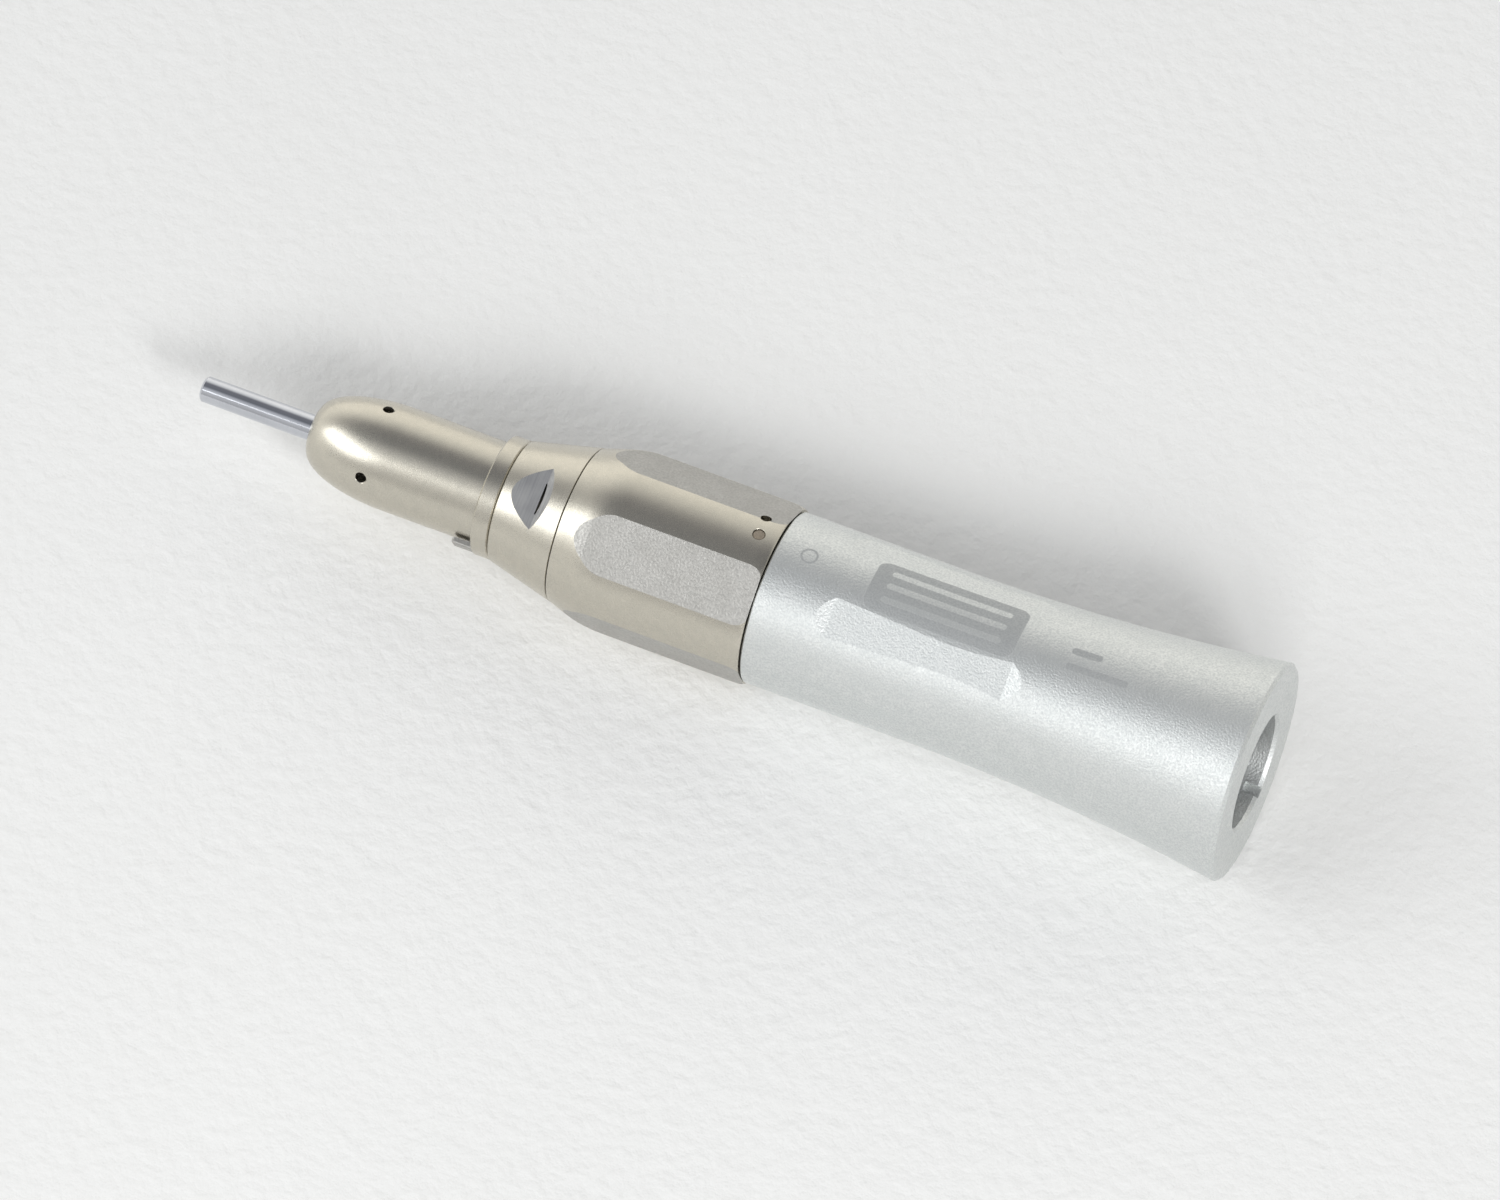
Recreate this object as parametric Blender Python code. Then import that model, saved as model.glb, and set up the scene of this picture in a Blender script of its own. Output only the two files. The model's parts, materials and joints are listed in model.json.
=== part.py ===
"""Straight 1:1 dental handpiece with a twist chuck and a test bar in the collet.

The long axis lies along X. The nose points to -X and the motor socket opens to +X.
A station is a distance in mm forward of the rear face, and a radius is measured from the
long axis. An angle of 0 degrees is straight up, and it grows by the right-hand rule
about +X, so 90 degrees points to -Y.
"""

import math

import bmesh
import bpy
from mathutils import Matrix, Vector

MM = 0.001

# Whole handpiece, in mm.
TOTAL_LENGTH = 99.9
REAR_RADIUS = 10.0
AXIS_HEIGHT = REAR_RADIUS
OUTER_SEGMENTS = 60
MIDDLE_SEGMENTS = 40
INNER_SEGMENTS = 24
ROD_SIDES = 10
FINE_CLEARANCE = 0.05
SEAT_CLEARANCE = 0.03
JOINT_GAP = 0.1

# Rear sheath: a straight front part that flares along one arc to the rear face.
SHEATH_FRONT = 45.1
SHEATH_RADIUS = 7.88
SHEATH_BORE = 6.0
FLARE_START = 30.0
FLARE_STEPS = 6
EDGE_CHAMFER = 0.3
FRONT_CHAMFER = 0.12
SOCKET_RADIUS = 5.25
SOCKET_MOUTH_RADIUS = 5.45
SOCKET_MOUTH_DEPTH = 0.35
SOCKET_LIP = 2.2
SCALLOP_COUNT = 6
SCALLOP_FIRST_ANGLE = 30.0
SCALLOP_REAR = 21.8
SCALLOP_FRONT = 38.3
SCALLOP_REAR_FLOOR = 7.85
SCALLOP_FRONT_FLOOR = 7.67
SCALLOP_RUN_OUT = 2.6
SCALLOP_RUN_OUT_RISE = 0.46
INDEX_NOTCH_ANGLE = 194.0
INDEX_NOTCH_WIDTH = 1.0
INDEX_NOTCH_DEPTH = 1.5

# Coupling liner in the socket.
LINER_FRONT = 26.9
LINER_GROOVE = 8.6
LINER_GROOVE_WIDTH = 1.2
LINER_GROOVE_RADIUS = 5.55

# Inner barrel, which carries every other piece of the housing.
BARREL_REAR = 27.3
BARREL_FRONT = 66.2
BARREL_RADIUS = SHEATH_BORE - FINE_CLEARANCE
BARREL_BORE = 5.05
BARREL_STOP = 34.1
BARREL_STOP_WIDTH = 0.9
BARREL_STOP_BORE = 4.5

# Front collar with two wrench flats.
COLLAR_REAR = 63.9
COLLAR_FRONT = 70.1
COLLAR_REAR_RADIUS = 7.11
COLLAR_FRONT_RADIUS = 5.6
COLLAR_STEP = 66.5
WRENCH_FLAT = 5.82
WRENCH_FLAT_REAR = 66.4
WRENCH_ANGLE = 20.0

# Attachment flange with its index lug.
FLANGE_FRONT = 71.8
FLANGE_RADIUS = 5.51
FLANGE_COUNTERBORE = 4.8
FLANGE_COUNTERBORE_REAR = 71.4
LUG_REACH = 1.9
LUG_WIDTH = 1.5
LUG_FOOT = 4.88
LUG_ANGLE = 109.0

# Nose cone.
NOSE_FRONT = 89.1
NOSE_REAR_RADIUS = 4.7
NOSE_BULGE_RADIUS = 4.73
NOSE_BULGE_STATION = 78.5
NOSE_TURN_STATION = 81.0
NOSE_TIP_RADIUS = 1.7
NOSE_MOUTH_RADIUS = 1.4
NOSE_TIP_STEPS = 7
SPIGOT_REAR = 64.6
SPIGOT_RADIUS = 4.45
NOSE_BORE = 4.05
NOSE_SHOULDER = 82.1
NOSE_SEAL_BORE = 3.3
NOSE_SEAL_SHOULDER = 85.0
NOSE_TIP_BORE = 2.65
NOSE_TIP_WALL = 87.7
NOSE_HOLE_COUNT = 4
NOSE_HOLE_RADIUS = 0.5
NOSE_HOLE_STATION = 82.8
NOSE_HOLE_ANGLE = -25.0

# Twist ring.
RING_REAR = SHEATH_FRONT + JOINT_GAP
RING_FRONT = COLLAR_REAR - JOINT_GAP
RING_RADIUS = 8.27
RING_REAR_RADIUS = 8.0
RING_REAR_ROUNDING = 1.4
RING_DOME_START = 58.8
RING_DOME_STEPS = 5
RING_DOME_SWEEP = math.radians(112.0)
RING_FRONT_RADIUS = 7.13
RING_BORE = 6.9
RING_LIP_STATION = 62.8
RING_LIP_BORE = 6.1
RING_FLAT_COUNT = 5
RING_FLAT_ANGLE = 36.0
RING_FLAT = 7.8
RING_FLAT_EASE_STATION = 60.9
RING_FLAT_EASE_SLOPE = math.tan(math.radians(6.0))
RING_TURN = 50.0
DOT_RADIUS = 0.53
DOT_STATION = 46.9
DOT_ANGLE = -4.0
DOT_DEPTH = 0.4
DOT_THICKNESS = 0.3

# Ring carrier and the cam pins that it drives.
CARRIER_REAR = 45.7
CARRIER_FRONT = 60.5
CAM_STATION = 47.1
CAM_ANGLES = (-19.0, 161.0)
CAM_PIN_RADIUS = 0.45
CAM_PIN_INNER = 4.4
CAM_PIN_OUTER = 6.8
CAM_SLOT_HALF_WIDTH = 0.58
CAM_SLOT_MARGIN = 8.0
CAM_SLOT_STEPS = 6
PIN_CLEARANCE = 0.05

# Release sleeve.
SLEEVE_TRAVEL = 1.2
SLEEVE_REAR = 44.0
SLEEVE_FRONT = 51.55
SLEEVE_RADIUS = BARREL_BORE - FINE_CLEARANCE
SLEEVE_BORE = 4.3
SLEEVE_FLANGE_WIDTH = 1.2
SLEEVE_FLANGE_BORE = 2.8
KEY_STATION = 48.4
KEY_ANGLE = -109.0
KEY_RADIUS = 0.5

# Spindle.
SPINDLE_REAR = 26.3
SPINDLE_FRONT = 86.4
SPINDLE_RADIUS = 2.5 - SEAT_CLEARANCE
SPINDLE_NOSE_RADIUS = 2.45
SPINDLE_SEAT_RADIUS = 2.0 - SEAT_CLEARANCE
SPINDLE_COLLAR_RADIUS = 3.2
SPINDLE_COLLAR_REAR = 62.2
SPINDLE_COLLAR_FRONT = 66.0
SPINDLE_SHOULDER_RADIUS = 2.6
SPINDLE_SHOULDER_FRONT = 68.4
SPINDLE_BORE = 1.75
SPINDLE_MOUTH_RADIUS = 2.2
SPINDLE_CONE_REAR = 83.4
SPINDLE_BORE_REAR = 49.5
SPINDLE_DUCT_RADIUS = 1.0
STEM_BORE = 1.35
STEM_FRONT = 31.3

# Drive fork at the bottom of the socket.
FORK_REAR = 20.2
FORK_FLOOR = 23.2
FORK_FRONT = 26.1
FORK_RADIUS = 2.3
FORK_RECESS = 0.9
FORK_SLOT_WIDTH = 1.8
FORK_PIN_STATION = 28.6
FORK_PIN_RADIUS = 0.4

# Ball bearings: bore radius, outer radius and station of the rear face.
BEARING_WIDTH = 3.0
BALL_RADIUS = 0.56
RACE_RADIUS = 0.65
RACE_STEPS = 4
NOSE_BEARING_SIZE = (2.0, 4.0)
REAR_BEARING_SIZE = (2.5, 5.0)
NOSE_BEARING_STATION = 79.0
MIDDLE_BEARING_STATION = 68.5
REAR_BEARING_STATION = 31.0
BALL_COUNT = 6
CAGE_SEGMENTS = 2 * BALL_COUNT

# Chuck: collet, draw tube, thrust collar, cross pin and spring.
BAR_RADIUS = 1.175
COLLET_FRONT = 86.6
COLLET_CONE_REAR = 83.3
COLLET_REAR = 72.0
COLLET_SHOULDER = 75.0
COLLET_RADIUS = 1.7
COLLET_HEAD_RADIUS = 2.12
COLLET_BORE = 1.22
COLLET_SPIGOT_RADIUS = 1.45
COLLET_SLIT_REAR = 78.0
COLLET_SLIT_WIDTH = 0.3
COLLET_SLIT_COUNT = 3
DRAW_TUBE_REAR = 50.2
DRAW_TUBE_FRONT = 74.9
DRAW_TUBE_BORE = 1.25
DRAW_TUBE_COUNTERBORE = 71.8
COLLET_TRAVEL = 0.9
CROSS_PIN_STATION = 53.0
CROSS_PIN_RADIUS = 0.5
CROSS_PIN_REACH = 3.9
THRUST_COLLAR_RADIUS = 4.1
THRUST_COLLAR_BORE = 2.55
THRUST_COLLAR_HALF_WIDTH = 1.1
SPRING_WIRE_RADIUS = 0.28
SPRING_RADIUS = 2.95
SPRING_TURNS = 4
SPRING_STEPS_PER_TURN = 10
SPRING_WIRE_SIDES = 5

# Test bar.
BAR_LENGTH = 44.5
BAR_CHAMFER = 0.2

# Small rings.
SEAL_REAR = 83.6
SEAL_FRONT = 84.5
SEAL_BORE = 2.5
WASHER_STATION = 68.0
WASHER_THICKNESS = 0.2
WASHER_WAVE = 0.15
WASHER_WAVES = 3
WASHER_RADII = (3.45, 3.98)
RETAINER_STATIONS = (65.0, 67.5)
RETAINER_RADII = (3.3, 4.0)
REAR_NUT_STATIONS = (28.6, 30.8)
REAR_NUT_RADII = (3.4, 5.0)
NUT_SLOT_WIDTH = 0.9
NUT_SLOT_DEPTH = 0.8
SPACER_RADII = (3.45, 4.0)
O_RING_STATION = 62.0
O_RING_RADIUS = 6.36
O_RING_SECTION = 0.36
O_RING_STEPS = 6

FINISHES = {
    "satin_nickel": ((0.72, 0.67, 0.58), 0.34, 1.0),
    "satin_aluminium": ((0.80, 0.82, 0.83), 0.38, 1.0),
    "ground_steel": ((0.66, 0.67, 0.69), 0.22, 1.0),
    "polished_steel": ((0.74, 0.75, 0.77), 0.12, 1.0),
    "bearing_steel": ((0.60, 0.61, 0.63), 0.18, 1.0),
    "cage_brass": ((0.78, 0.60, 0.30), 0.35, 1.0),
    "spring_steel": ((0.48, 0.48, 0.50), 0.30, 1.0),
    "seal_rubber": ((0.03, 0.03, 0.03), 0.75, 0.0),
    "dot_enamel": ((0.36, 0.28, 0.22), 0.60, 0.0),
}


# ---------------------------------------------------------------- geometry helpers


def station_x(station):
    """World X in metres of a station."""
    return (TOTAL_LENGTH / 2 - station) * MM


def outward(angle):
    """Unit vector away from the long axis at an angle in degrees."""
    turn = math.radians(angle)
    return Vector((0.0, -math.sin(turn), math.cos(turn)))


def sideways(angle):
    """Unit vector along the circle at an angle in degrees, the way the angle grows."""
    turn = math.radians(angle)
    return Vector((0.0, -math.cos(turn), -math.sin(turn)))


def spot(station, radius, angle, aside=0.0):
    """A point in metres, relative to the long axis."""
    across = outward(angle) * radius + sideways(angle) * aside
    return Vector((station_x(station), 0.0, 0.0)) + across * MM


def arc(centre, radius, start, end, steps):
    """Points of an arc in the (station, radius) plane, with angles from the station axis."""
    turns = [math.radians(start + (end - start) * k / steps) for k in range(steps + 1)]
    return [
        (centre[0] + radius * math.cos(turn), centre[1] + radius * math.sin(turn))
        for turn in turns
    ]


def join_loops(shape, first, second):
    """Faces between two loops of vertices. A loop of one vertex is a point on the axis."""
    count = max(len(first), len(second))
    if count == 1:
        return
    for k in range(count):
        after = (k + 1) % count
        corners = [first[k % len(first)], first[after % len(first)]]
        corners += [second[after % len(second)], second[k % len(second)]]
        shape.faces.new(list(dict.fromkeys(corners)))


def add_turned(shape, outline, segments):
    """A closed outline of (station, radius) points, turned about the long axis."""
    loops = []
    for station, radius in outline:
        angles = [360.0 * k / segments for k in range(segments)] if radius > 0 else [0.0]
        loops.append([shape.verts.new(spot(station, radius, angle)) for angle in angles])
    for loop, following in zip(loops, loops[1:] + loops[:1]):
        join_loops(shape, loop, following)


def add_sections(shape, sections):
    """A solid through a row of cross-sections, each a list of points."""
    loops = [[shape.verts.new(point) for point in section] for section in sections]
    for loop, following in zip(loops, loops[1:]):
        join_loops(shape, loop, following)
    shape.faces.new(loops[0])
    shape.faces.new(loops[-1])


def add_prism(shape, side, width, angle):
    """A side view of (station, height) points, extruded across the handpiece at an angle."""
    ends = [
        [spot(station, height, angle, aside) for station, height in side]
        for aside in (-width / 2, width / 2)
    ]
    add_sections(shape, ends)


def add_rod(shape, start, end, radius, sides=ROD_SIDES):
    """A round rod between two points in metres, with a radius in mm."""
    along = (end - start).normalized()
    first = along.orthogonal().normalized()
    second = along.cross(first)
    turns = [2 * math.pi * k / sides for k in range(sides)]
    rim = [(first * math.cos(turn) + second * math.sin(turn)) * radius * MM for turn in turns]
    add_sections(shape, [[centre + offset for offset in rim] for centre in (start, end)])


def add_radial_rod(shape, station, angle, inner, outer, radius):
    """A round rod that points away from the long axis, from one radius to another."""
    add_rod(shape, spot(station, inner, angle), spot(station, outer, angle), radius)


def add_wall_slot(shape, radii, half_width, start, end):
    """A slot through a round wall, from one (station, angle) to another along a helix."""
    sections = []
    for k in range(CAM_SLOT_STEPS + 1):
        share = k / CAM_SLOT_STEPS
        station = start[0] + (end[0] - start[0]) * share
        angle = start[1] + (end[1] - start[1]) * share
        corners = [(-half_width, radii[0]), (-half_width, radii[1])]
        corners += [(half_width, radii[1]), (half_width, radii[0])]
        sections.append([spot(station + along, radius, angle) for along, radius in corners])
    add_sections(shape, sections)


# ---------------------------------------------------------------- objects


def clear_scene():
    for old in list(bpy.data.objects):
        bpy.data.objects.remove(old, do_unlink=True)


def make_finishes():
    made = {}
    for name, (colour, roughness, metallic) in FINISHES.items():
        finish = bpy.data.materials.new(name)
        finish.use_nodes = True
        shader = finish.node_tree.nodes["Principled BSDF"]
        shader.inputs["Base Color"].default_value = (*colour, 1.0)
        shader.inputs["Roughness"].default_value = roughness
        shader.inputs["Metallic"].default_value = metallic
        made[name] = finish
    return made


def make_axis(name, parent=None):
    """An empty on the long axis that carries the pieces of one moving group."""
    axis = bpy.data.objects.new(name, None)
    axis.empty_display_size = REAR_RADIUS * MM
    if parent is None:
        axis.location = (0.0, 0.0, AXIS_HEIGHT * MM)
    axis.parent = parent
    bpy.context.scene.collection.objects.link(axis)
    return axis


def make_object(name, shape, axis, finish=None):
    """An object of the shape, with its origin on the long axis."""
    bmesh.ops.recalc_face_normals(shape, faces=shape.faces)
    mesh = bpy.data.meshes.new(name)
    shape.to_mesh(mesh)
    shape.free()
    mesh.shade_smooth()
    mesh.set_sharp_from_angle(angle=math.radians(30))
    if finish is not None:
        mesh.materials.append(finish)
    piece = bpy.data.objects.new(name, mesh)
    piece.parent = axis
    bpy.context.scene.collection.objects.link(piece)
    return piece


def turned(name, outline, axis, finish, segments=INNER_SEGMENTS):
    shape = bmesh.new()
    add_turned(shape, outline, segments)
    return make_object(name, shape, axis, finish)


def combine(piece, tool_shape, operation="DIFFERENCE"):
    """Cuts, joins or intersects a piece with a shape, which stays as a hidden object."""
    tool = make_object(f"{piece.name}_{operation.lower()}", tool_shape, piece.parent)
    tool.hide_render = True
    tool.display_type = "WIRE"
    step = piece.modifiers.new(operation.title(), "BOOLEAN")
    step.operation = operation
    step.solver = "EXACT"
    step.object = tool


# ---------------------------------------------------------------- housing


def flare_radius(station):
    """Outer radius of the sheath: an arc, tangent to its straight front part."""
    rise = REAR_RADIUS - SHEATH_RADIUS
    run = FLARE_START - EDGE_CHAMFER
    arc_radius = (run**2 + rise**2) / (2 * rise)
    back = max(FLARE_START - station, 0.0)
    return SHEATH_RADIUS + arc_radius - math.sqrt(arc_radius**2 - back**2)


def make_rear_sheath(axis, finish):
    flare = [
        EDGE_CHAMFER + (FLARE_START - EDGE_CHAMFER) * k / FLARE_STEPS
        for k in range(FLARE_STEPS + 1)
    ]
    outline = [(0.0, SOCKET_MOUTH_RADIUS), (0.0, REAR_RADIUS - EDGE_CHAMFER)]
    outline += [(station, flare_radius(station)) for station in flare]
    outline += [
        (SHEATH_FRONT - FRONT_CHAMFER, SHEATH_RADIUS),
        (SHEATH_FRONT, SHEATH_RADIUS - FRONT_CHAMFER),
        (SHEATH_FRONT, SHEATH_BORE),
        (SOCKET_LIP, SHEATH_BORE),
        (SOCKET_LIP, SOCKET_RADIUS),
        (SOCKET_MOUTH_DEPTH, SOCKET_RADIUS),
    ]
    sheath = turned("rear_sheath", outline, axis, finish, OUTER_SEGMENTS)
    rear_end = SCALLOP_REAR - SCALLOP_RUN_OUT
    front_end = SCALLOP_FRONT + SCALLOP_RUN_OUT
    side = [
        (rear_end, REAR_RADIUS),
        (rear_end, SCALLOP_REAR_FLOOR + SCALLOP_RUN_OUT_RISE),
        (SCALLOP_REAR, SCALLOP_REAR_FLOOR),
        (SCALLOP_FRONT, SCALLOP_FRONT_FLOOR),
        (front_end, SCALLOP_FRONT_FLOOR + SCALLOP_RUN_OUT_RISE),
        (front_end, REAR_RADIUS),
    ]
    cuts = bmesh.new()
    for k in range(SCALLOP_COUNT):
        angle = SCALLOP_FIRST_ANGLE + 360.0 * k / SCALLOP_COUNT
        add_prism(cuts, side, SHEATH_RADIUS, angle)
    notch_side = [
        (-EDGE_CHAMFER, SOCKET_RADIUS - EDGE_CHAMFER),
        (-EDGE_CHAMFER, SOCKET_RADIUS + INDEX_NOTCH_WIDTH / 2),
        (INDEX_NOTCH_DEPTH, SOCKET_RADIUS + INDEX_NOTCH_WIDTH / 2),
        (INDEX_NOTCH_DEPTH, SOCKET_RADIUS - EDGE_CHAMFER),
    ]
    add_prism(cuts, notch_side, INDEX_NOTCH_WIDTH, INDEX_NOTCH_ANGLE)
    combine(sheath, cuts)


def make_coupling_liner(axis, finish):
    """Steel lining of the motor socket, with the groove that the motor's latch clicks into."""
    half = LINER_GROOVE_WIDTH / 2
    slope = LINER_GROOVE_RADIUS - SOCKET_RADIUS
    outline = [
        (SOCKET_LIP + JOINT_GAP, SOCKET_RADIUS),
        (SOCKET_LIP + JOINT_GAP, BARREL_RADIUS),
        (LINER_FRONT, BARREL_RADIUS),
        (LINER_FRONT, SOCKET_RADIUS),
        (LINER_GROOVE + half + slope, SOCKET_RADIUS),
        (LINER_GROOVE + half, LINER_GROOVE_RADIUS),
        (LINER_GROOVE - half, LINER_GROOVE_RADIUS),
        (LINER_GROOVE - half - slope, SOCKET_RADIUS),
    ]
    turned("coupling_liner", outline, axis, finish, MIDDLE_SEGMENTS)


def cam_sweep(angle, climb):
    """Ends of a cam slot as (station, angle), for a slot that climbs back over a full turn."""
    slope = climb / RING_TURN
    low = angle - CAM_SLOT_MARGIN
    high = angle + RING_TURN + CAM_SLOT_MARGIN
    return [(CAM_STATION - slope * (end - angle), end) for end in (low, high)]


def make_inner_barrel(axis, finish):
    outline = [
        (BARREL_REAR, BARREL_BORE),
        (BARREL_REAR, BARREL_RADIUS),
        (BARREL_FRONT, BARREL_RADIUS),
        (BARREL_FRONT, BARREL_BORE),
        (BARREL_STOP + BARREL_STOP_WIDTH, BARREL_BORE),
        (BARREL_STOP + BARREL_STOP_WIDTH, BARREL_STOP_BORE),
        (BARREL_STOP, BARREL_STOP_BORE),
        (BARREL_STOP, BARREL_BORE),
    ]
    barrel = turned("inner_barrel", outline, axis, finish, MIDDLE_SEGMENTS)
    cuts = bmesh.new()
    wall = (BARREL_BORE - EDGE_CHAMFER, BARREL_RADIUS + EDGE_CHAMFER)
    for angle in CAM_ANGLES:
        start, end = cam_sweep(angle, 0.0)
        add_wall_slot(cuts, wall, CAM_SLOT_HALF_WIDTH, start, end)
    add_radial_rod(cuts, KEY_STATION, KEY_ANGLE, *wall, KEY_RADIUS + PIN_CLEARANCE)
    combine(barrel, cuts)


def make_guide_key(axis, finish):
    """Pin in the barrel wall that keeps the release sleeve from turning."""
    shape = bmesh.new()
    ends = (CAM_PIN_INNER, BARREL_RADIUS - FINE_CLEARANCE)
    add_radial_rod(shape, KEY_STATION, KEY_ANGLE, *ends, KEY_RADIUS)
    make_object("guide_key", shape, axis, finish)


def make_front_collar(axis, finish):
    outline = [
        (COLLAR_REAR, SHEATH_BORE),
        (COLLAR_REAR, COLLAR_REAR_RADIUS),
        (COLLAR_FRONT, COLLAR_FRONT_RADIUS),
        (COLLAR_FRONT, SPIGOT_RADIUS + FINE_CLEARANCE),
        (COLLAR_STEP, SPIGOT_RADIUS + FINE_CLEARANCE),
        (COLLAR_STEP, SHEATH_BORE),
    ]
    collar = turned("front_collar", outline, axis, finish, MIDDLE_SEGMENTS)
    run_out = COLLAR_REAR_RADIUS - WRENCH_FLAT
    side = [
        (COLLAR_FRONT + JOINT_GAP, WRENCH_FLAT),
        (WRENCH_FLAT_REAR, WRENCH_FLAT),
        (WRENCH_FLAT_REAR - run_out, COLLAR_REAR_RADIUS),
        (WRENCH_FLAT_REAR - run_out, REAR_RADIUS),
        (COLLAR_FRONT + JOINT_GAP, REAR_RADIUS),
    ]
    cuts = bmesh.new()
    for angle in (WRENCH_ANGLE, WRENCH_ANGLE + 180.0):
        add_prism(cuts, side, 2 * REAR_RADIUS, angle)
    combine(collar, cuts)


def make_attachment_flange(axis, finish):
    """Locating flange that attachments seat on, with one lug that stops them from turning."""
    inner = SPIGOT_RADIUS + FINE_CLEARANCE
    rear = COLLAR_FRONT + JOINT_GAP
    outline = [
        (rear, inner),
        (rear, FLANGE_RADIUS - FRONT_CHAMFER),
        (rear + FRONT_CHAMFER, FLANGE_RADIUS),
        (FLANGE_FRONT - FRONT_CHAMFER, FLANGE_RADIUS),
        (FLANGE_FRONT, FLANGE_RADIUS - FRONT_CHAMFER),
        (FLANGE_FRONT, FLANGE_COUNTERBORE),
        (FLANGE_COUNTERBORE_REAR, FLANGE_COUNTERBORE),
        (FLANGE_COUNTERBORE_REAR, inner),
    ]
    flange = turned("attachment_flange", outline, axis, finish, MIDDLE_SEGMENTS)
    top = FLANGE_RADIUS - FRONT_CHAMFER
    lug_side = [
        (FLANGE_FRONT - LUG_REACH / 3, LUG_FOOT),
        (FLANGE_FRONT - LUG_REACH / 3, top),
        (FLANGE_FRONT + LUG_REACH, top),
        (FLANGE_FRONT + LUG_REACH, LUG_FOOT),
    ]
    lug = bmesh.new()
    add_prism(lug, lug_side, LUG_WIDTH, LUG_ANGLE)
    combine(flange, lug, "UNION")


def nose_outline():
    """Outer line of the nose cone from its shoulder to its tip: a barrel, then a round tip."""
    length = NOSE_FRONT - NOSE_TURN_STATION
    drop = NOSE_BULGE_RADIUS - NOSE_TIP_RADIUS
    points = [(FLANGE_COUNTERBORE_REAR + JOINT_GAP, NOSE_REAR_RADIUS)]
    points.append((NOSE_BULGE_STATION, NOSE_BULGE_RADIUS))
    for k in range(NOSE_TIP_STEPS + 1):
        turn = math.pi / 2 * k / NOSE_TIP_STEPS
        station = NOSE_TURN_STATION + length * math.sin(turn)
        points.append((station, NOSE_TIP_RADIUS + drop * math.cos(turn) ** 0.9))
    return points


def make_nose_cone(axis, finish):
    outline = [(SPIGOT_REAR, NOSE_BORE), (SPIGOT_REAR, SPIGOT_RADIUS)]
    outline += [(FLANGE_COUNTERBORE_REAR + JOINT_GAP, SPIGOT_RADIUS)]
    outline += nose_outline()
    outline += [
        (NOSE_FRONT, NOSE_MOUTH_RADIUS),
        (NOSE_TIP_WALL, NOSE_MOUTH_RADIUS),
        (NOSE_TIP_WALL, NOSE_TIP_BORE),
        (NOSE_SEAL_SHOULDER, NOSE_TIP_BORE),
        (NOSE_SEAL_SHOULDER, NOSE_SEAL_BORE),
        (NOSE_SHOULDER, NOSE_SEAL_BORE),
        (NOSE_SHOULDER, NOSE_BORE),
    ]
    nose = turned("nose_cone", outline, axis, finish, MIDDLE_SEGMENTS)
    holes = bmesh.new()
    for k in range(NOSE_HOLE_COUNT):
        angle = NOSE_HOLE_ANGLE + 360.0 * k / NOSE_HOLE_COUNT
        ends = (NOSE_TIP_BORE, FLANGE_RADIUS)
        add_radial_rod(holes, NOSE_HOLE_STATION, angle, *ends, NOSE_HOLE_RADIUS)
    combine(nose, holes)


def make_plain_ring(name, stations, radii, axis, finish, segments=INNER_SEGMENTS):
    rear, front = stations
    inner, outer = radii
    outline = [(rear, inner), (rear, outer), (front, outer), (front, inner)]
    return turned(name, outline, axis, finish, segments)


def make_slotted_nut(name, stations, radii, axis, finish):
    """Threaded ring with a wrench slot across its rear face."""
    nut = make_plain_ring(name, stations, radii, axis, finish)
    slot_end = stations[0] + NUT_SLOT_DEPTH
    side = [
        (stations[0] - JOINT_GAP, -REAR_RADIUS),
        (stations[0] - JOINT_GAP, REAR_RADIUS),
        (slot_end, REAR_RADIUS),
        (slot_end, -REAR_RADIUS),
    ]
    slot = bmesh.new()
    add_prism(slot, side, NUT_SLOT_WIDTH, 0.0)
    combine(nut, slot)


def make_wave_washer(axis, finish):
    """Thin spring ring that waves along its circle."""
    shape = bmesh.new()
    loops = []
    for k in range(INNER_SEGMENTS):
        angle = 360.0 * k / INNER_SEGMENTS
        lift = WASHER_WAVE * math.sin(math.radians(angle * WASHER_WAVES))
        ends = (WASHER_STATION + lift, WASHER_STATION + lift + WASHER_THICKNESS)
        inner, outer = WASHER_RADII
        corners = [(ends[0], inner), (ends[0], outer), (ends[1], outer), (ends[1], inner)]
        loops.append([shape.verts.new(spot(*corner, angle)) for corner in corners])
    for loop, following in zip(loops, loops[1:] + loops[:1]):
        join_loops(shape, loop, following)
    make_object("wave_washer", shape, axis, finish)


def make_o_ring(axis, finish):
    """Rubber ring that drags lightly on the twist ring."""
    full = arc((O_RING_STATION, O_RING_RADIUS), O_RING_SECTION, 0.0, 360.0, O_RING_STEPS)
    turned("ring_o_ring", full[:-1], axis, finish)


# ---------------------------------------------------------------- bearings


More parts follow.
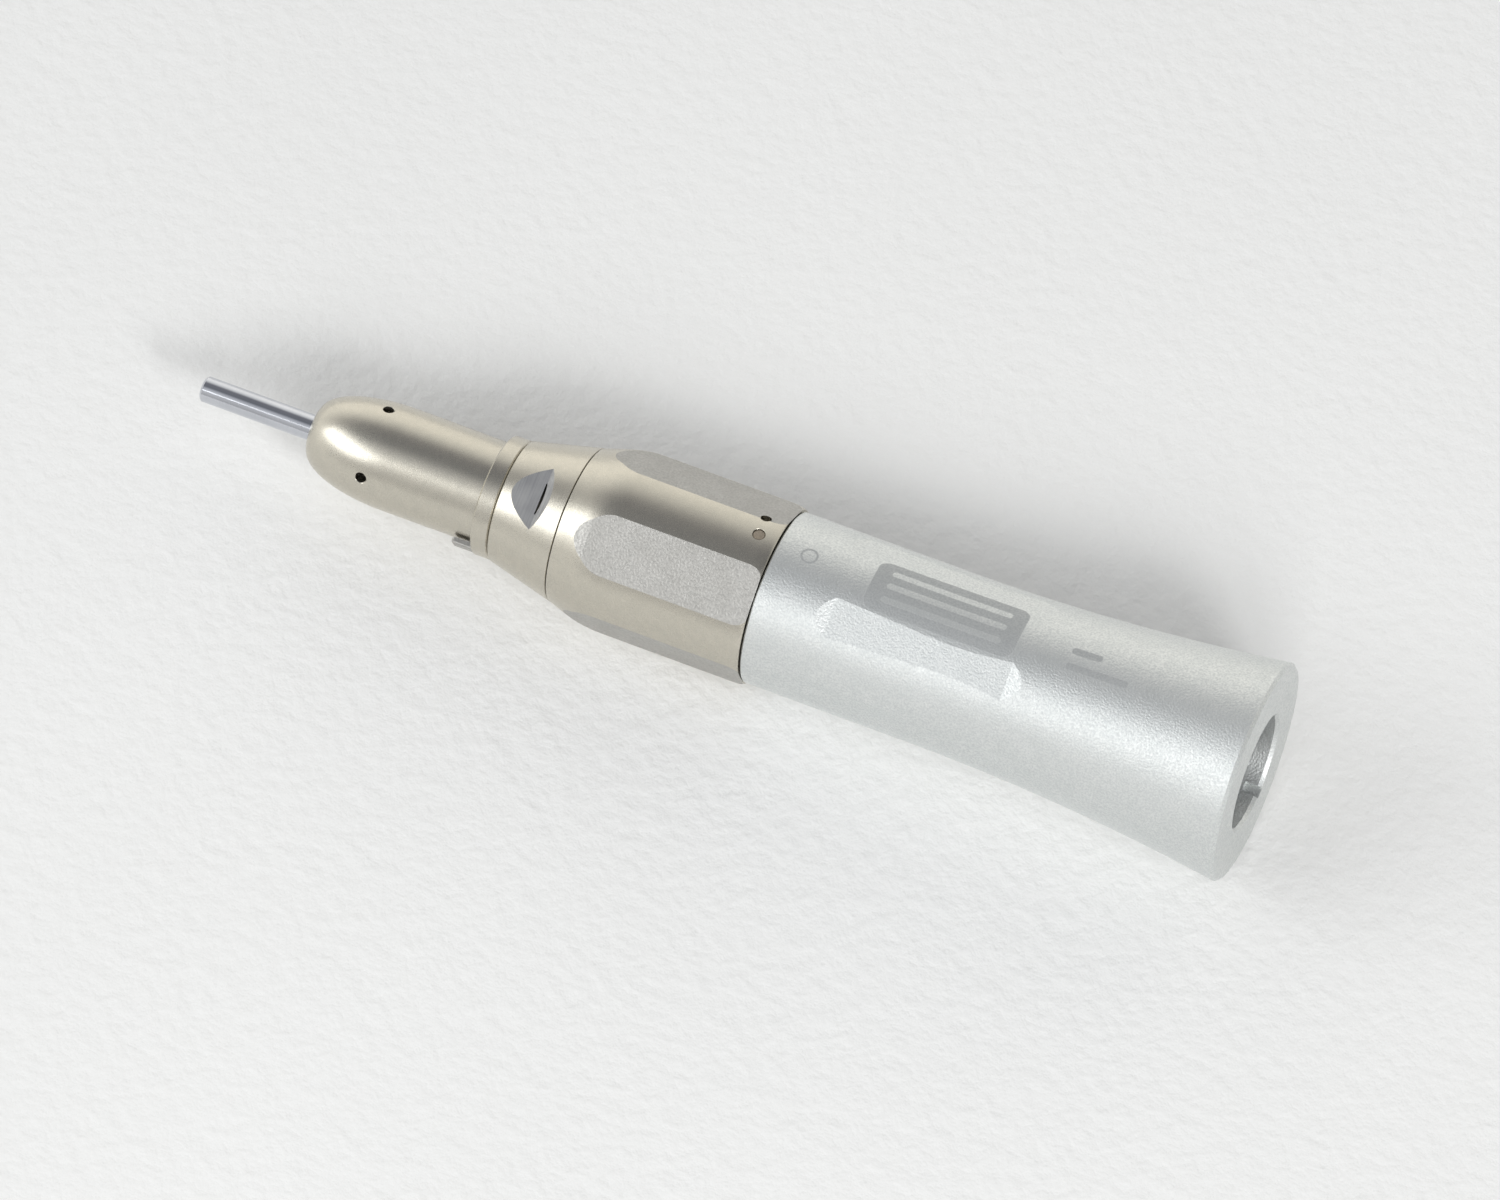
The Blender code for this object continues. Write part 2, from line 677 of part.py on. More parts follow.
def make_bearing(prefix, size, station, axes, finishes):
    """A ball bearing: an outer ring, an inner ring, and a cage with its balls."""
    bore, outer = size
    pitch = (bore + outer) / 2
    middle = station + BEARING_WIDTH / 2
    front = station + BEARING_WIDTH
    land = RACE_RADIUS * 0.5
    reach = math.degrees(math.asin(land / RACE_RADIUS))
    upper = arc((middle, pitch), RACE_RADIUS, reach, 180.0 - reach, RACE_STEPS)
    lower = arc((middle, pitch), RACE_RADIUS, 360.0 - reach, 180.0 + reach, RACE_STEPS)
    outline = [(front, pitch + land), *upper, (station, pitch + land)]
    outline += [(station, outer), (front, outer)]
    turned(f"{prefix}_outer_race", outline, axes["housing"], finishes["bearing_steel"])
    outline = [(front, pitch - land), *lower, (station, pitch - land)]
    outline += [(station, bore), (front, bore)]
    turned(f"{prefix}_inner_race", outline, axes["spindle"], finishes["bearing_steel"])
    half = BALL_RADIUS * 1.35
    band = land / 2
    outline = [(middle - half, pitch - band), (middle - half, pitch + band)]
    outline += [(middle + half, pitch + band), (middle + half, pitch - band)]
    name = f"{prefix}_ball_cage"
    cage = turned(name, outline, axes[name], finishes["cage_brass"], CAGE_SEGMENTS)
    balls = bmesh.new()
    for k in range(BALL_COUNT):
        place = Matrix.Translation(spot(middle, pitch, 360.0 * k / BALL_COUNT))
        bmesh.ops.create_icosphere(balls, subdivisions=2, radius=BALL_RADIUS * MM, matrix=place)
    combine(cage, balls, "UNION")


# ---------------------------------------------------------------- twist ring and release


def ring_outline():
    """Outer line of the twist ring: a rounded rear edge, a cylinder and a domed front."""
    points = []
    for k in range(3):
        turn = math.pi / 2 * k / 2
        station = RING_REAR + RING_REAR_ROUNDING * (1 - math.cos(turn))
        drop = RING_RADIUS - RING_REAR_RADIUS
        points.append((station, RING_REAR_RADIUS + drop * math.sin(turn)))
    length = RING_FRONT - RING_DOME_START
    drop = (RING_RADIUS - RING_FRONT_RADIUS) / (1 - math.cos(RING_DOME_SWEEP))
    for k in range(RING_DOME_STEPS + 1):
        share = k / RING_DOME_STEPS
        radius = RING_RADIUS - drop * (1 - math.cos(RING_DOME_SWEEP * share))
        points.append((RING_DOME_START + length * share, radius))
    return points


def make_twist_ring(axis, finish):
    outline = [(RING_REAR, RING_BORE), *ring_outline()]
    outline += [
        (RING_FRONT, RING_LIP_BORE),
        (RING_LIP_STATION, RING_LIP_BORE),
        (RING_LIP_STATION, RING_BORE),
    ]
    ring = turned("twist_ring", outline, axis, finish, OUTER_SEGMENTS)
    # Each flat has a straight front edge, and beyond it eases towards the dome.
    flats = bmesh.new()
    front_end = RING_FRONT + 1.0
    front_flat = RING_FLAT - (front_end - RING_FLAT_EASE_STATION) * RING_FLAT_EASE_SLOPE
    planes = [(RING_REAR - 1.0, RING_FLAT), (RING_FLAT_EASE_STATION, RING_FLAT)]
    planes.append((front_end, front_flat))
    to_corner = 1 / math.cos(math.pi / RING_FLAT_COUNT)
    angles = [
        RING_FLAT_ANGLE + 360.0 * (k + 0.5) / RING_FLAT_COUNT for k in range(RING_FLAT_COUNT)
    ]
    sections = [
        [spot(station, height * to_corner, angle) for angle in angles]
        for station, height in planes
    ]
    add_sections(flats, sections)
    combine(ring, flats, "INTERSECT")
    holes = bmesh.new()
    floor = RING_RADIUS - DOT_DEPTH
    add_radial_rod(holes, DOT_STATION, DOT_ANGLE, floor, REAR_RADIUS, DOT_RADIUS + PIN_CLEARANCE)
    for angle in CAM_ANGLES:
        ends = (CAM_PIN_OUTER - EDGE_CHAMFER, REAR_RADIUS)
        add_radial_rod(holes, CAM_STATION, angle, *ends, CAM_PIN_RADIUS + PIN_CLEARANCE)
    combine(ring, holes)


def make_ring_dot(axis, finish):
    """Enamel dot that shows which way the chuck is turned."""
    shape = bmesh.new()
    top = RING_RADIUS - PIN_CLEARANCE
    add_radial_rod(shape, DOT_STATION, DOT_ANGLE, top - DOT_THICKNESS, top, DOT_RADIUS)
    make_object("ring_dot", shape, axis, finish)


def make_ring_carrier(axis, finish):
    inner = BARREL_RADIUS + FINE_CLEARANCE
    radii = (inner, RING_BORE - FINE_CLEARANCE)
    stations = (CARRIER_REAR, CARRIER_FRONT)
    carrier = make_plain_ring("ring_carrier", stations, radii, axis, finish, MIDDLE_SEGMENTS)
    holes = bmesh.new()
    for angle in CAM_ANGLES:
        ends = (inner - EDGE_CHAMFER, RING_BORE)
        add_radial_rod(holes, CAM_STATION, angle, *ends, CAM_PIN_RADIUS + PIN_CLEARANCE)
    combine(carrier, holes)


def make_cam_pins(axis, finish):
    for number, angle in enumerate(CAM_ANGLES, 1):
        shape = bmesh.new()
        ends = (CAM_PIN_INNER, CAM_PIN_OUTER)
        add_radial_rod(shape, CAM_STATION, angle, *ends, CAM_PIN_RADIUS)
        make_object(f"cam_pin_{number}", shape, axis, finish)


def make_release_sleeve(axis, finish):
    """Sleeve that the cam pins push forward against the thrust collar."""
    flange_rear = SLEEVE_FRONT - SLEEVE_FLANGE_WIDTH
    outline = [
        (SLEEVE_REAR, SLEEVE_BORE),
        (SLEEVE_REAR, SLEEVE_RADIUS),
        (SLEEVE_FRONT, SLEEVE_RADIUS),
        (SLEEVE_FRONT, SLEEVE_FLANGE_BORE),
        (flange_rear, SLEEVE_FLANGE_BORE),
        (flange_rear, SLEEVE_BORE),
    ]
    sleeve = turned("release_sleeve", outline, axis, finish)
    wall = (SLEEVE_BORE - EDGE_CHAMFER, SLEEVE_RADIUS + EDGE_CHAMFER)
    cuts = bmesh.new()
    for angle in CAM_ANGLES:
        start, end = cam_sweep(angle, SLEEVE_TRAVEL)
        add_wall_slot(cuts, wall, CAM_SLOT_HALF_WIDTH, start, end)
    room = KEY_RADIUS + 2 * PIN_CLEARANCE
    key_side = [
        (KEY_STATION - SLEEVE_TRAVEL - room, wall[0]),
        (KEY_STATION - SLEEVE_TRAVEL - room, wall[1]),
        (KEY_STATION + room, wall[1]),
        (KEY_STATION + room, wall[0]),
    ]
    add_prism(cuts, key_side, 2 * room, KEY_ANGLE)
    combine(sleeve, cuts)


# ---------------------------------------------------------------- spindle


def make_spindle(axis, finish):
    outline = [
        (SPINDLE_REAR, STEM_BORE),
        (SPINDLE_REAR, SPINDLE_RADIUS),
        (SPINDLE_COLLAR_REAR, SPINDLE_RADIUS),
        (SPINDLE_COLLAR_REAR, SPINDLE_COLLAR_RADIUS),
        (SPINDLE_COLLAR_FRONT, SPINDLE_COLLAR_RADIUS),
        (SPINDLE_COLLAR_FRONT, SPINDLE_SHOULDER_RADIUS),
        (SPINDLE_SHOULDER_FRONT, SPINDLE_SHOULDER_RADIUS),
        (SPINDLE_SHOULDER_FRONT, SPINDLE_SEAT_RADIUS),
        (NOSE_SHOULDER, SPINDLE_SEAT_RADIUS),
        (NOSE_SHOULDER, SPINDLE_NOSE_RADIUS),
        (SPINDLE_FRONT, SPINDLE_NOSE_RADIUS),
        (SPINDLE_FRONT, SPINDLE_MOUTH_RADIUS),
        (SPINDLE_CONE_REAR, SPINDLE_BORE),
        (SPINDLE_BORE_REAR, SPINDLE_BORE),
        (SPINDLE_BORE_REAR, SPINDLE_DUCT_RADIUS),
        (STEM_FRONT + JOINT_GAP, SPINDLE_DUCT_RADIUS),
        (STEM_FRONT + JOINT_GAP, STEM_BORE),
    ]
    spindle = turned("spindle", outline, axis, finish)
    room = CROSS_PIN_RADIUS + PIN_CLEARANCE
    rear = CROSS_PIN_STATION - room
    front = CROSS_PIN_STATION + COLLET_TRAVEL + room
    reach = SPINDLE_RADIUS + EDGE_CHAMFER
    side = [(rear, -reach), (rear, reach), (front, reach), (front, -reach)]
    cuts = bmesh.new()
    add_prism(cuts, side, 2 * room, 0.0)
    add_cross_hole(cuts, FORK_PIN_STATION, reach, FORK_PIN_RADIUS)
    combine(spindle, cuts)


def add_cross_hole(shape, station, reach, radius):
    """A rod right across the long axis, from top to bottom."""
    add_radial_rod(shape, station, 0.0, -reach, reach, radius + PIN_CLEARANCE)


def make_drive_fork(axis, finish):
    """Fork that the motor's driver turns, with a stem pinned in the spindle."""
    outline = [
        (FORK_REAR, FORK_RECESS),
        (FORK_REAR, FORK_RADIUS),
        (FORK_FRONT, FORK_RADIUS),
        (FORK_FRONT, STEM_BORE - FINE_CLEARANCE),
        (STEM_FRONT, STEM_BORE - FINE_CLEARANCE),
        (STEM_FRONT, 0.0),
        (FORK_FLOOR, 0.0),
        (FORK_FLOOR, FORK_RECESS),
    ]
    fork = turned("drive_fork", outline, axis, finish)
    side = [
        (FORK_REAR - EDGE_CHAMFER, -REAR_RADIUS),
        (FORK_REAR - EDGE_CHAMFER, REAR_RADIUS),
        (FORK_FLOOR, REAR_RADIUS),
        (FORK_FLOOR, -REAR_RADIUS),
    ]
    cuts = bmesh.new()
    add_prism(cuts, side, FORK_SLOT_WIDTH, 90.0)
    add_cross_hole(cuts, FORK_PIN_STATION, FORK_RADIUS, FORK_PIN_RADIUS)
    combine(fork, cuts)


def make_cross_pin(name, station, reach, radius, axis, finish):
    shape = bmesh.new()
    add_radial_rod(shape, station, 0.0, -reach, reach, radius)
    make_object(name, shape, axis, finish)


# ---------------------------------------------------------------- chuck


def make_collet(axis, finish):
    outline = [
        (COLLET_REAR, COLLET_BORE),
        (COLLET_REAR, COLLET_SPIGOT_RADIUS),
        (COLLET_SHOULDER, COLLET_SPIGOT_RADIUS),
        (COLLET_SHOULDER, COLLET_RADIUS),
        (COLLET_CONE_REAR, COLLET_RADIUS),
        (COLLET_FRONT, COLLET_HEAD_RADIUS),
        (COLLET_FRONT, COLLET_BORE),
    ]
    collet = turned("collet", outline, axis, finish)
    side = [
        (COLLET_SLIT_REAR, BAR_RADIUS / 2),
        (COLLET_SLIT_REAR, SPINDLE_MOUTH_RADIUS * 2),
        (COLLET_FRONT + JOINT_GAP, SPINDLE_MOUTH_RADIUS * 2),
        (COLLET_FRONT + JOINT_GAP, BAR_RADIUS / 2),
    ]
    slits = bmesh.new()
    for k in range(COLLET_SLIT_COUNT):
        add_prism(slits, side, COLLET_SLIT_WIDTH, 360.0 * k / COLLET_SLIT_COUNT)
    combine(collet, slits)


def make_draw_tube(axis, finish):
    counterbore = COLLET_SPIGOT_RADIUS + FINE_CLEARANCE
    outline = [
        (DRAW_TUBE_REAR, DRAW_TUBE_BORE),
        (DRAW_TUBE_REAR, COLLET_RADIUS),
        (DRAW_TUBE_FRONT, COLLET_RADIUS),
        (DRAW_TUBE_FRONT, counterbore),
        (DRAW_TUBE_COUNTERBORE, counterbore),
        (DRAW_TUBE_COUNTERBORE, DRAW_TUBE_BORE),
    ]
    tube = turned("draw_tube", outline, axis, finish)
    hole = bmesh.new()
    add_cross_hole(hole, CROSS_PIN_STATION, SPINDLE_RADIUS, CROSS_PIN_RADIUS)
    combine(tube, hole)


def make_thrust_collar(axis, finish):
    rear = CROSS_PIN_STATION - THRUST_COLLAR_HALF_WIDTH
    front = CROSS_PIN_STATION + THRUST_COLLAR_HALF_WIDTH
    radii = (THRUST_COLLAR_BORE, THRUST_COLLAR_RADIUS)
    collar = make_plain_ring("thrust_collar", (rear, front), radii, axis, finish)
    hole = bmesh.new()
    add_cross_hole(hole, CROSS_PIN_STATION, BARREL_BORE, CROSS_PIN_RADIUS)
    combine(collar, hole)


def make_chuck_spring(axis, finish):
    """Coil spring that pulls the collet shut, between the thrust collar and the spindle."""
    gap = SPRING_WIRE_RADIUS + FINE_CLEARANCE
    rear = CROSS_PIN_STATION + THRUST_COLLAR_HALF_WIDTH + gap
    front = SPINDLE_COLLAR_REAR - gap
    steps = SPRING_TURNS * SPRING_STEPS_PER_TURN
    sections = []
    for k in range(steps + 1):
        angle = 360.0 * k / SPRING_STEPS_PER_TURN
        station = rear + (front - rear) * k / steps
        sections.append([
            spot(station + along, radius, angle)
            for along, radius in arc(
                (0.0, SPRING_RADIUS), SPRING_WIRE_RADIUS, 0.0, 360.0, SPRING_WIRE_SIDES
            )[:-1]
        ])
    shape = bmesh.new()
    add_sections(shape, sections)
    make_object("chuck_spring", shape, axis, finish)


def make_test_bar(axis, finish):
    rear = TOTAL_LENGTH - BAR_LENGTH
    edge = BAR_RADIUS - BAR_CHAMFER
    outline = [
        (rear, 0.0),
        (rear, edge),
        (rear + BAR_CHAMFER, BAR_RADIUS),
        (TOTAL_LENGTH - BAR_CHAMFER, BAR_RADIUS),
        (TOTAL_LENGTH, edge),
        (TOTAL_LENGTH, 0.0),
    ]
    turned("test_bar", outline, axis, finish)


# ---------------------------------------------------------------- assembly


def main():
    clear_scene()
    finishes = make_finishes()
    nickel = finishes["satin_nickel"]
    steel = finishes["ground_steel"]
    axes = {"housing": make_axis("housing_axis")}
    for name in ("ring", "sleeve", "spindle"):
        axes[name] = make_axis(f"{name}_axis", axes["housing"])
    for name in ("chuck", "bar"):
        axes[name] = make_axis(f"{name}_axis", axes["spindle"])
    bearings = (
        ("nose_bearing", NOSE_BEARING_SIZE, NOSE_BEARING_STATION),
        ("middle_bearing", NOSE_BEARING_SIZE, MIDDLE_BEARING_STATION),
        ("rear_bearing", REAR_BEARING_SIZE, REAR_BEARING_STATION),
    )
    for prefix, size, station in bearings:
        cage = f"{prefix}_ball_cage"
        axes[cage] = make_axis(f"{cage}_axis", axes["housing"])
        make_bearing(prefix, size, station, axes, finishes)

    housing = axes["housing"]
    make_rear_sheath(housing, finishes["satin_aluminium"])
    make_coupling_liner(housing, steel)
    make_inner_barrel(housing, steel)
    make_guide_key(housing, steel)
    make_front_collar(housing, nickel)
    make_attachment_flange(housing, nickel)
    make_nose_cone(housing, nickel)
    seal = (SEAL_BORE, NOSE_SEAL_BORE - FINE_CLEARANCE)
    make_plain_ring("nose_seal", (SEAL_REAR, SEAL_FRONT), seal, housing, finishes["seal_rubber"])
    spacer_ends = (
        MIDDLE_BEARING_STATION + BEARING_WIDTH + JOINT_GAP,
        NOSE_BEARING_STATION - JOINT_GAP,
    )
    make_plain_ring("bearing_spacer", spacer_ends, SPACER_RADII, housing, steel)
    make_wave_washer(housing, finishes["spring_steel"])
    make_slotted_nut("nose_bearing_nut", RETAINER_STATIONS, RETAINER_RADII, housing, steel)
    make_slotted_nut("rear_bearing_nut", REAR_NUT_STATIONS, REAR_NUT_RADII, housing, steel)
    make_o_ring(housing, finishes["seal_rubber"])

    make_twist_ring(axes["ring"], nickel)
    make_ring_dot(axes["ring"], finishes["dot_enamel"])
    make_ring_carrier(axes["ring"], steel)
    make_cam_pins(axes["ring"], steel)
    make_release_sleeve(axes["sleeve"], steel)

    spindle = axes["spindle"]
    make_spindle(spindle, steel)
    make_drive_fork(spindle, steel)
    make_cross_pin("fork_pin", FORK_PIN_STATION, FORK_RADIUS, FORK_PIN_RADIUS, spindle, steel)

    chuck = axes["chuck"]
    make_collet(chuck, finishes["spring_steel"])
    make_draw_tube(chuck, steel)
    make_thrust_collar(chuck, steel)
    make_cross_pin(
        "cross_pin", CROSS_PIN_STATION, CROSS_PIN_REACH, CROSS_PIN_RADIUS, chuck, steel
    )
    make_chuck_spring(chuck, finishes["spring_steel"])
    make_test_bar(axes["bar"], finishes["polished_steel"])


main()
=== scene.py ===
"""Looks of a straight dental handpiece: fine outer meshes, procedural metals and a pale studio.

The long axis lies along X, with the nose towards -X. A station is a distance in mm forward of
the rear face, and a radius is measured from the long axis. An angle of 0 degrees is straight
up, and it grows by the right-hand rule about +X, so 90 degrees points to -Y.
"""

import json
import math

import bmesh
import bpy
from mathutils import Matrix, Vector


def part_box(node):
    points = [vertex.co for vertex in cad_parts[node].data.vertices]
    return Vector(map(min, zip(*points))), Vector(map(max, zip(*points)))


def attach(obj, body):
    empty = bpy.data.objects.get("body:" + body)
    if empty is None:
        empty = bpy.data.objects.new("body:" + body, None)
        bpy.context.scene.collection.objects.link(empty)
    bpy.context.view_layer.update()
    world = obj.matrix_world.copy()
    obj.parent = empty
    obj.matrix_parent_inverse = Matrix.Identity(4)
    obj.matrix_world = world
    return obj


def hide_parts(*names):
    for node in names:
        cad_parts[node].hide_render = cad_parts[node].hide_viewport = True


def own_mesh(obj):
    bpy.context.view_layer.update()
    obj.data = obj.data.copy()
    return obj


MM = 0.001

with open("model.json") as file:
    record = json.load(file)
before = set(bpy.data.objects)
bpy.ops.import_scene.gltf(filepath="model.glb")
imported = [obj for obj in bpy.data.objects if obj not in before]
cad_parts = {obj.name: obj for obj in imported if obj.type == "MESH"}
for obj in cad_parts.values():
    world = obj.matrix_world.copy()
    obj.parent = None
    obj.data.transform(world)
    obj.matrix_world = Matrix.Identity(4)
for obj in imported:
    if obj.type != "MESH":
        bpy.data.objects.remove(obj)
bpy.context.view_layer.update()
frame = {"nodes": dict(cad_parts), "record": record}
REAR_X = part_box("rear_sheath")[1].x
AXIS_Z = (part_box("rear_sheath")[0].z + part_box("rear_sheath")[1].z) / 2

# Rear sheath.
SHEATH_FRONT = 45.1
SHEATH_RADIUS = 7.88
SHEATH_BORE = 6.0
REAR_RADIUS = 10.0
FLARE_START = 30.0
EDGE_CHAMFER = 0.3
FRONT_CHAMFER = 0.12
SOCKET_RADIUS = 5.25
SOCKET_MOUTH_RADIUS = 5.45
SOCKET_MOUTH_DEPTH = 0.35
SOCKET_LIP = 2.2
SCALLOPS = 6
SCALLOP_ANGLE = 30.0
SCALLOP_REAR = (21.8, 7.85)
SCALLOP_FRONT = (38.3, 7.67)
SCALLOP_RUN_OUT_SLOPE = 0.46 / 2.6
SCALLOP_RUN_OUT = 4.0
# The scallops' tool runs out above the surface at both ends and sides.
SCALLOP_TOOL_WIDTH = 4.8
NOTCH_ANGLE = 194.0
NOTCH_WIDTH = 1.0
NOTCH_DEPTH = 0.5
NOTCH_LENGTH = 1.5

# Coupling liner in the socket.
LINER_REAR = 2.3
LINER_FRONT = 26.9
LINER_OUTER = 5.95
LINER_GROOVE = 8.6
LINER_GROOVE_RADIUS = 5.55
LINER_GROOVE_HALF = 0.6

# Twist ring.
RING_REAR = 45.2
RING_FRONT = 63.8
RING_RADIUS = 8.27
RING_REAR_RADIUS = 8.0
RING_REAR_ROUNDING = 1.4
RING_ROUNDING_STEPS = 24
RING_STRAIGHT = (47.2, 58.4)
RING_DOME_START = 58.8
RING_DOME_SWEEP = math.radians(112.0)
RING_DOME_STEPS = 60
RING_FRONT_RADIUS = 7.13
RING_BORE = 6.9
RING_LIP_STATION = 62.8
RING_LIP_BORE = 6.1
RING_FLATS = 5
RING_FLAT_ANGLE = 36.0
RING_FLAT = 7.8
RING_FLAT_EASE_STATION = 60.9
RING_FLAT_EASE_SLOPE = math.tan(math.radians(6.0))
RING_FLAT_TOOL_WIDTH = 7.0
DOT_RADIUS = 0.53
DOT_STATION = 46.9
DOT_ANGLE = -4.0
DOT_DEPTH = 0.4
DOT_THICKNESS = 0.3
DOT_CLEARANCE = 0.05
DOT_SIDES = 40
PIN_STATION = 47.1
PIN_ANGLES = (-19.0, 161.0)
PIN_HOLE_RADIUS = 0.5
PIN_HOLE_TOP = 8.15
FINE_RIM = 0.03

# Front collar with two wrench flats.
COLLAR_REAR = 63.9
COLLAR_FRONT = 70.1
COLLAR_REAR_RADIUS = 7.11
COLLAR_FRONT_RADIUS = 5.6
COLLAR_FRONT_EDGE = 0.08
COLLAR_REAR_EDGE = (0.05, 0.06)
COLLAR_STEP = 66.5
WRENCH_FLAT = 5.82
WRENCH_FLAT_REAR = 66.4
WRENCH_ANGLE = 20.0
SPIGOT_HOLE = 4.5

# Attachment flange with its lug.
FLANGE_REAR = 70.2
FLANGE_FRONT = 71.8
FLANGE_RADIUS = 5.51
FLANGE_COUNTERBORE = 4.8
FLANGE_COUNTERBORE_REAR = 71.4
LUG_ANGLE = 109.0
LUG_WIDTH = 1.5
LUG_REACH = 1.9
LUG_FOOT = 4.88
LUG_TOP = 5.39
LUG_ROOT = 0.3
LUG_CORNER = 0.14
LUG_ROUNDING = 0.13

# Nose cone.
NOSE_SHOULDER = 71.5
NOSE_FRONT = 89.1
NOSE_REAR_RADIUS = 4.7
NOSE_BULGE_RADIUS = 4.73
NOSE_BULGE_STATION = 78.5
NOSE_BULGE_START = 72.5
NOSE_BULGE_STEPS = 8
NOSE_TURN_STATION = 81.0
NOSE_TIP_RADIUS = 1.7
NOSE_TIP_STEPS = 64
NOSE_MOUTH_RADIUS = 1.4
NOSE_EDGE = 0.06
NOSE_TIP_WALL = 87.7
NOSE_TIP_BORE = 2.65
NOSE_SEAL_SHOULDER = 85.0
NOSE_SEAL_BORE = 3.3
SPIGOT_REAR = 64.6
SPIGOT_RADIUS = 4.45
NOSE_BORE = 4.05
NOSE_BORE_FRONT = 82.1
NOSE_HOLES = 4
NOSE_HOLE_ANGLE = -25.0
NOSE_HOLE_STATION = 82.8
NOSE_HOLE_RADIUS = 0.5
NOSE_HOLE_FLOOR = 2.8
NOSE_HOLE_DROP = 0.08

# Bar in the chuck and the driven fork in the socket.
BAR_REAR = 55.4
BAR_FRONT = 99.9
BAR_RADIUS = 1.175
BAR_CHAMFER = 0.2
FORK_REAR = 20.2
FORK_FLOOR = 23.2
FORK_FRONT = 26.1
FORK_RADIUS = 2.3
FORK_RECESS = 0.9
FORK_SLOT_WIDTH = 1.8
FORK_CHAMFER = 0.15
STEM_FRONT = 31.3
STEM_RADIUS = 1.3
STEM_CORE = 0.02

# Chuck spring, behind the spindle's front collar.
SPRING_REAR = 54.43
SPRING_FRONT = 61.87
SPRING_RADIUS = 2.95
SPRING_WIRE_RADIUS = 0.28
SPRING_WIRE_SIDES = 12
SPRING_TURNS = 4
SPRING_STEPS = 48

COLUMNS = 240


# ---------------------------------------------------------------- geometry


def spot(station, radius, angle, aside=0.0):
    """A point in metres, from a station, a radius, an angle in degrees and a step sideways."""
    turn = math.radians(angle)
    y = -math.sin(turn) * radius - math.cos(turn) * aside
    z = math.cos(turn) * radius - math.sin(turn) * aside
    return Vector((REAR_X - station * MM, y * MM, AXIS_Z + z * MM))


def steps(start, end, count):
    return [start + (end - start) * k / count for k in range(count + 1)]


def finish_piece(mesh, name, body, materials, nodes=(), crease=24.0):
    """Makes an object of a mesh, sets its normals and finish, and puts it on its body.

    The materials are names in MATERIALS, and faces cut with finish 1 take the second.
    """
    mesh.validate()
    for face in mesh.polygons:
        face.use_smooth = True
    mesh.set_sharp_from_angle(angle=math.radians(crease))
    while len(mesh.materials) < len(materials):
        mesh.materials.append(None)
    for k in range(len(mesh.materials)):
        mesh.materials[k] = MATERIALS[materials[min(k, len(materials) - 1)]]
    piece = bpy.data.objects.new(name, mesh)
    bpy.context.scene.collection.objects.link(piece)
    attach(piece, body)
    if nodes:
        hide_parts(*nodes)
    return piece


def loop_mesh(name, rings, closed=True):
    """A mesh through rings of points. Closed joins the last ring to the first."""
    size = len(rings[0])
    points = [point for ring in rings for point in ring]
    faces = []
    count = len(rings) if closed else len(rings) - 1
    for row in range(count):
        this = row * size
        following = (row + 1) % len(rings) * size
        for k in range(size):
            beside = (k + 1) % size
            faces.append((this + k, this + beside, following + beside, following + k))
    if not closed:
        faces.append(tuple(range(size)))
        faces.append(tuple(range((len(rings) - 1) * size, len(rings) * size)))
    mesh = bpy.data.meshes.new(name)
    mesh.from_pydata(points, [], faces)
    shape = bmesh.new()
    shape.from_mesh(mesh)
    bmesh.ops.recalc_face_normals(shape, faces=shape.faces)
    shape.to_mesh(mesh)
    shape.free()
    return mesh


def turned_mesh(name, outline, closed=True):
    """A turned shape from an outline of (station, radius)."""
    angles = [360.0 * k / COLUMNS for k in range(COLUMNS)]
    rings = [[spot(station, radius, angle) for angle in angles] for station, radius in outline]
    return loop_mesh(name, rings, closed)


def add_rod(shape, centres, radii, sides=32):
    """Adds a closed round rod to a bmesh. It runs through points in metres, with radii in mm."""
    along = (centres[-1] - centres[0]).normalized()
    first = along.orthogonal().normalized()
    second = along.cross(first)
    loops = []
    for centre, radius in zip(centres, radii):
        loop = []
        for k in range(sides):
            turn = 2 * math.pi * k / sides
            offset = (first * math.cos(turn) + second * math.sin(turn)) * radius * MM
            loop.append(shape.verts.new(centre + offset))
        loops.append(loop)
    for near, far in zip(loops, loops[1:]):
        for k in range(sides):
            beside = (k + 1) % sides
            shape.faces.new((near[k], near[beside], far[beside], far[k]))
    shape.faces.new(loops[0])
    shape.faces.new(loops[-1])


def add_hole(shape, station, angle, floor, top, radius, rim=0.06):
    """Adds a tool for a drilled hole that breaks out at the radius top, with an eased rim."""
    heights = (floor, top - rim, top + rim, top + 1.0)
    radii = (radius, radius, radius + 2 * rim, radius + 2 * rim)
    add_rod(shape, [spot(station, height, angle) for height in heights], radii)


def add_slab(shape, side, half_width, angle):
    """Adds a slab to a bmesh: a side view of (station, height), made wide across an angle."""
    loops = []
    for aside in (-half_width, half_width):
        points = [spot(station, height, angle, aside) for station, height in side]
        loops.append([shape.verts.new(point) for point in points])
    for k in range(len(side)):
        beside = (k + 1) % len(side)
        shape.faces.new((loops[0][k], loops[0][beside], loops[1][beside], loops[1][k]))
    shape.faces.new(loops[0])
    shape.faces.new(loops[1])


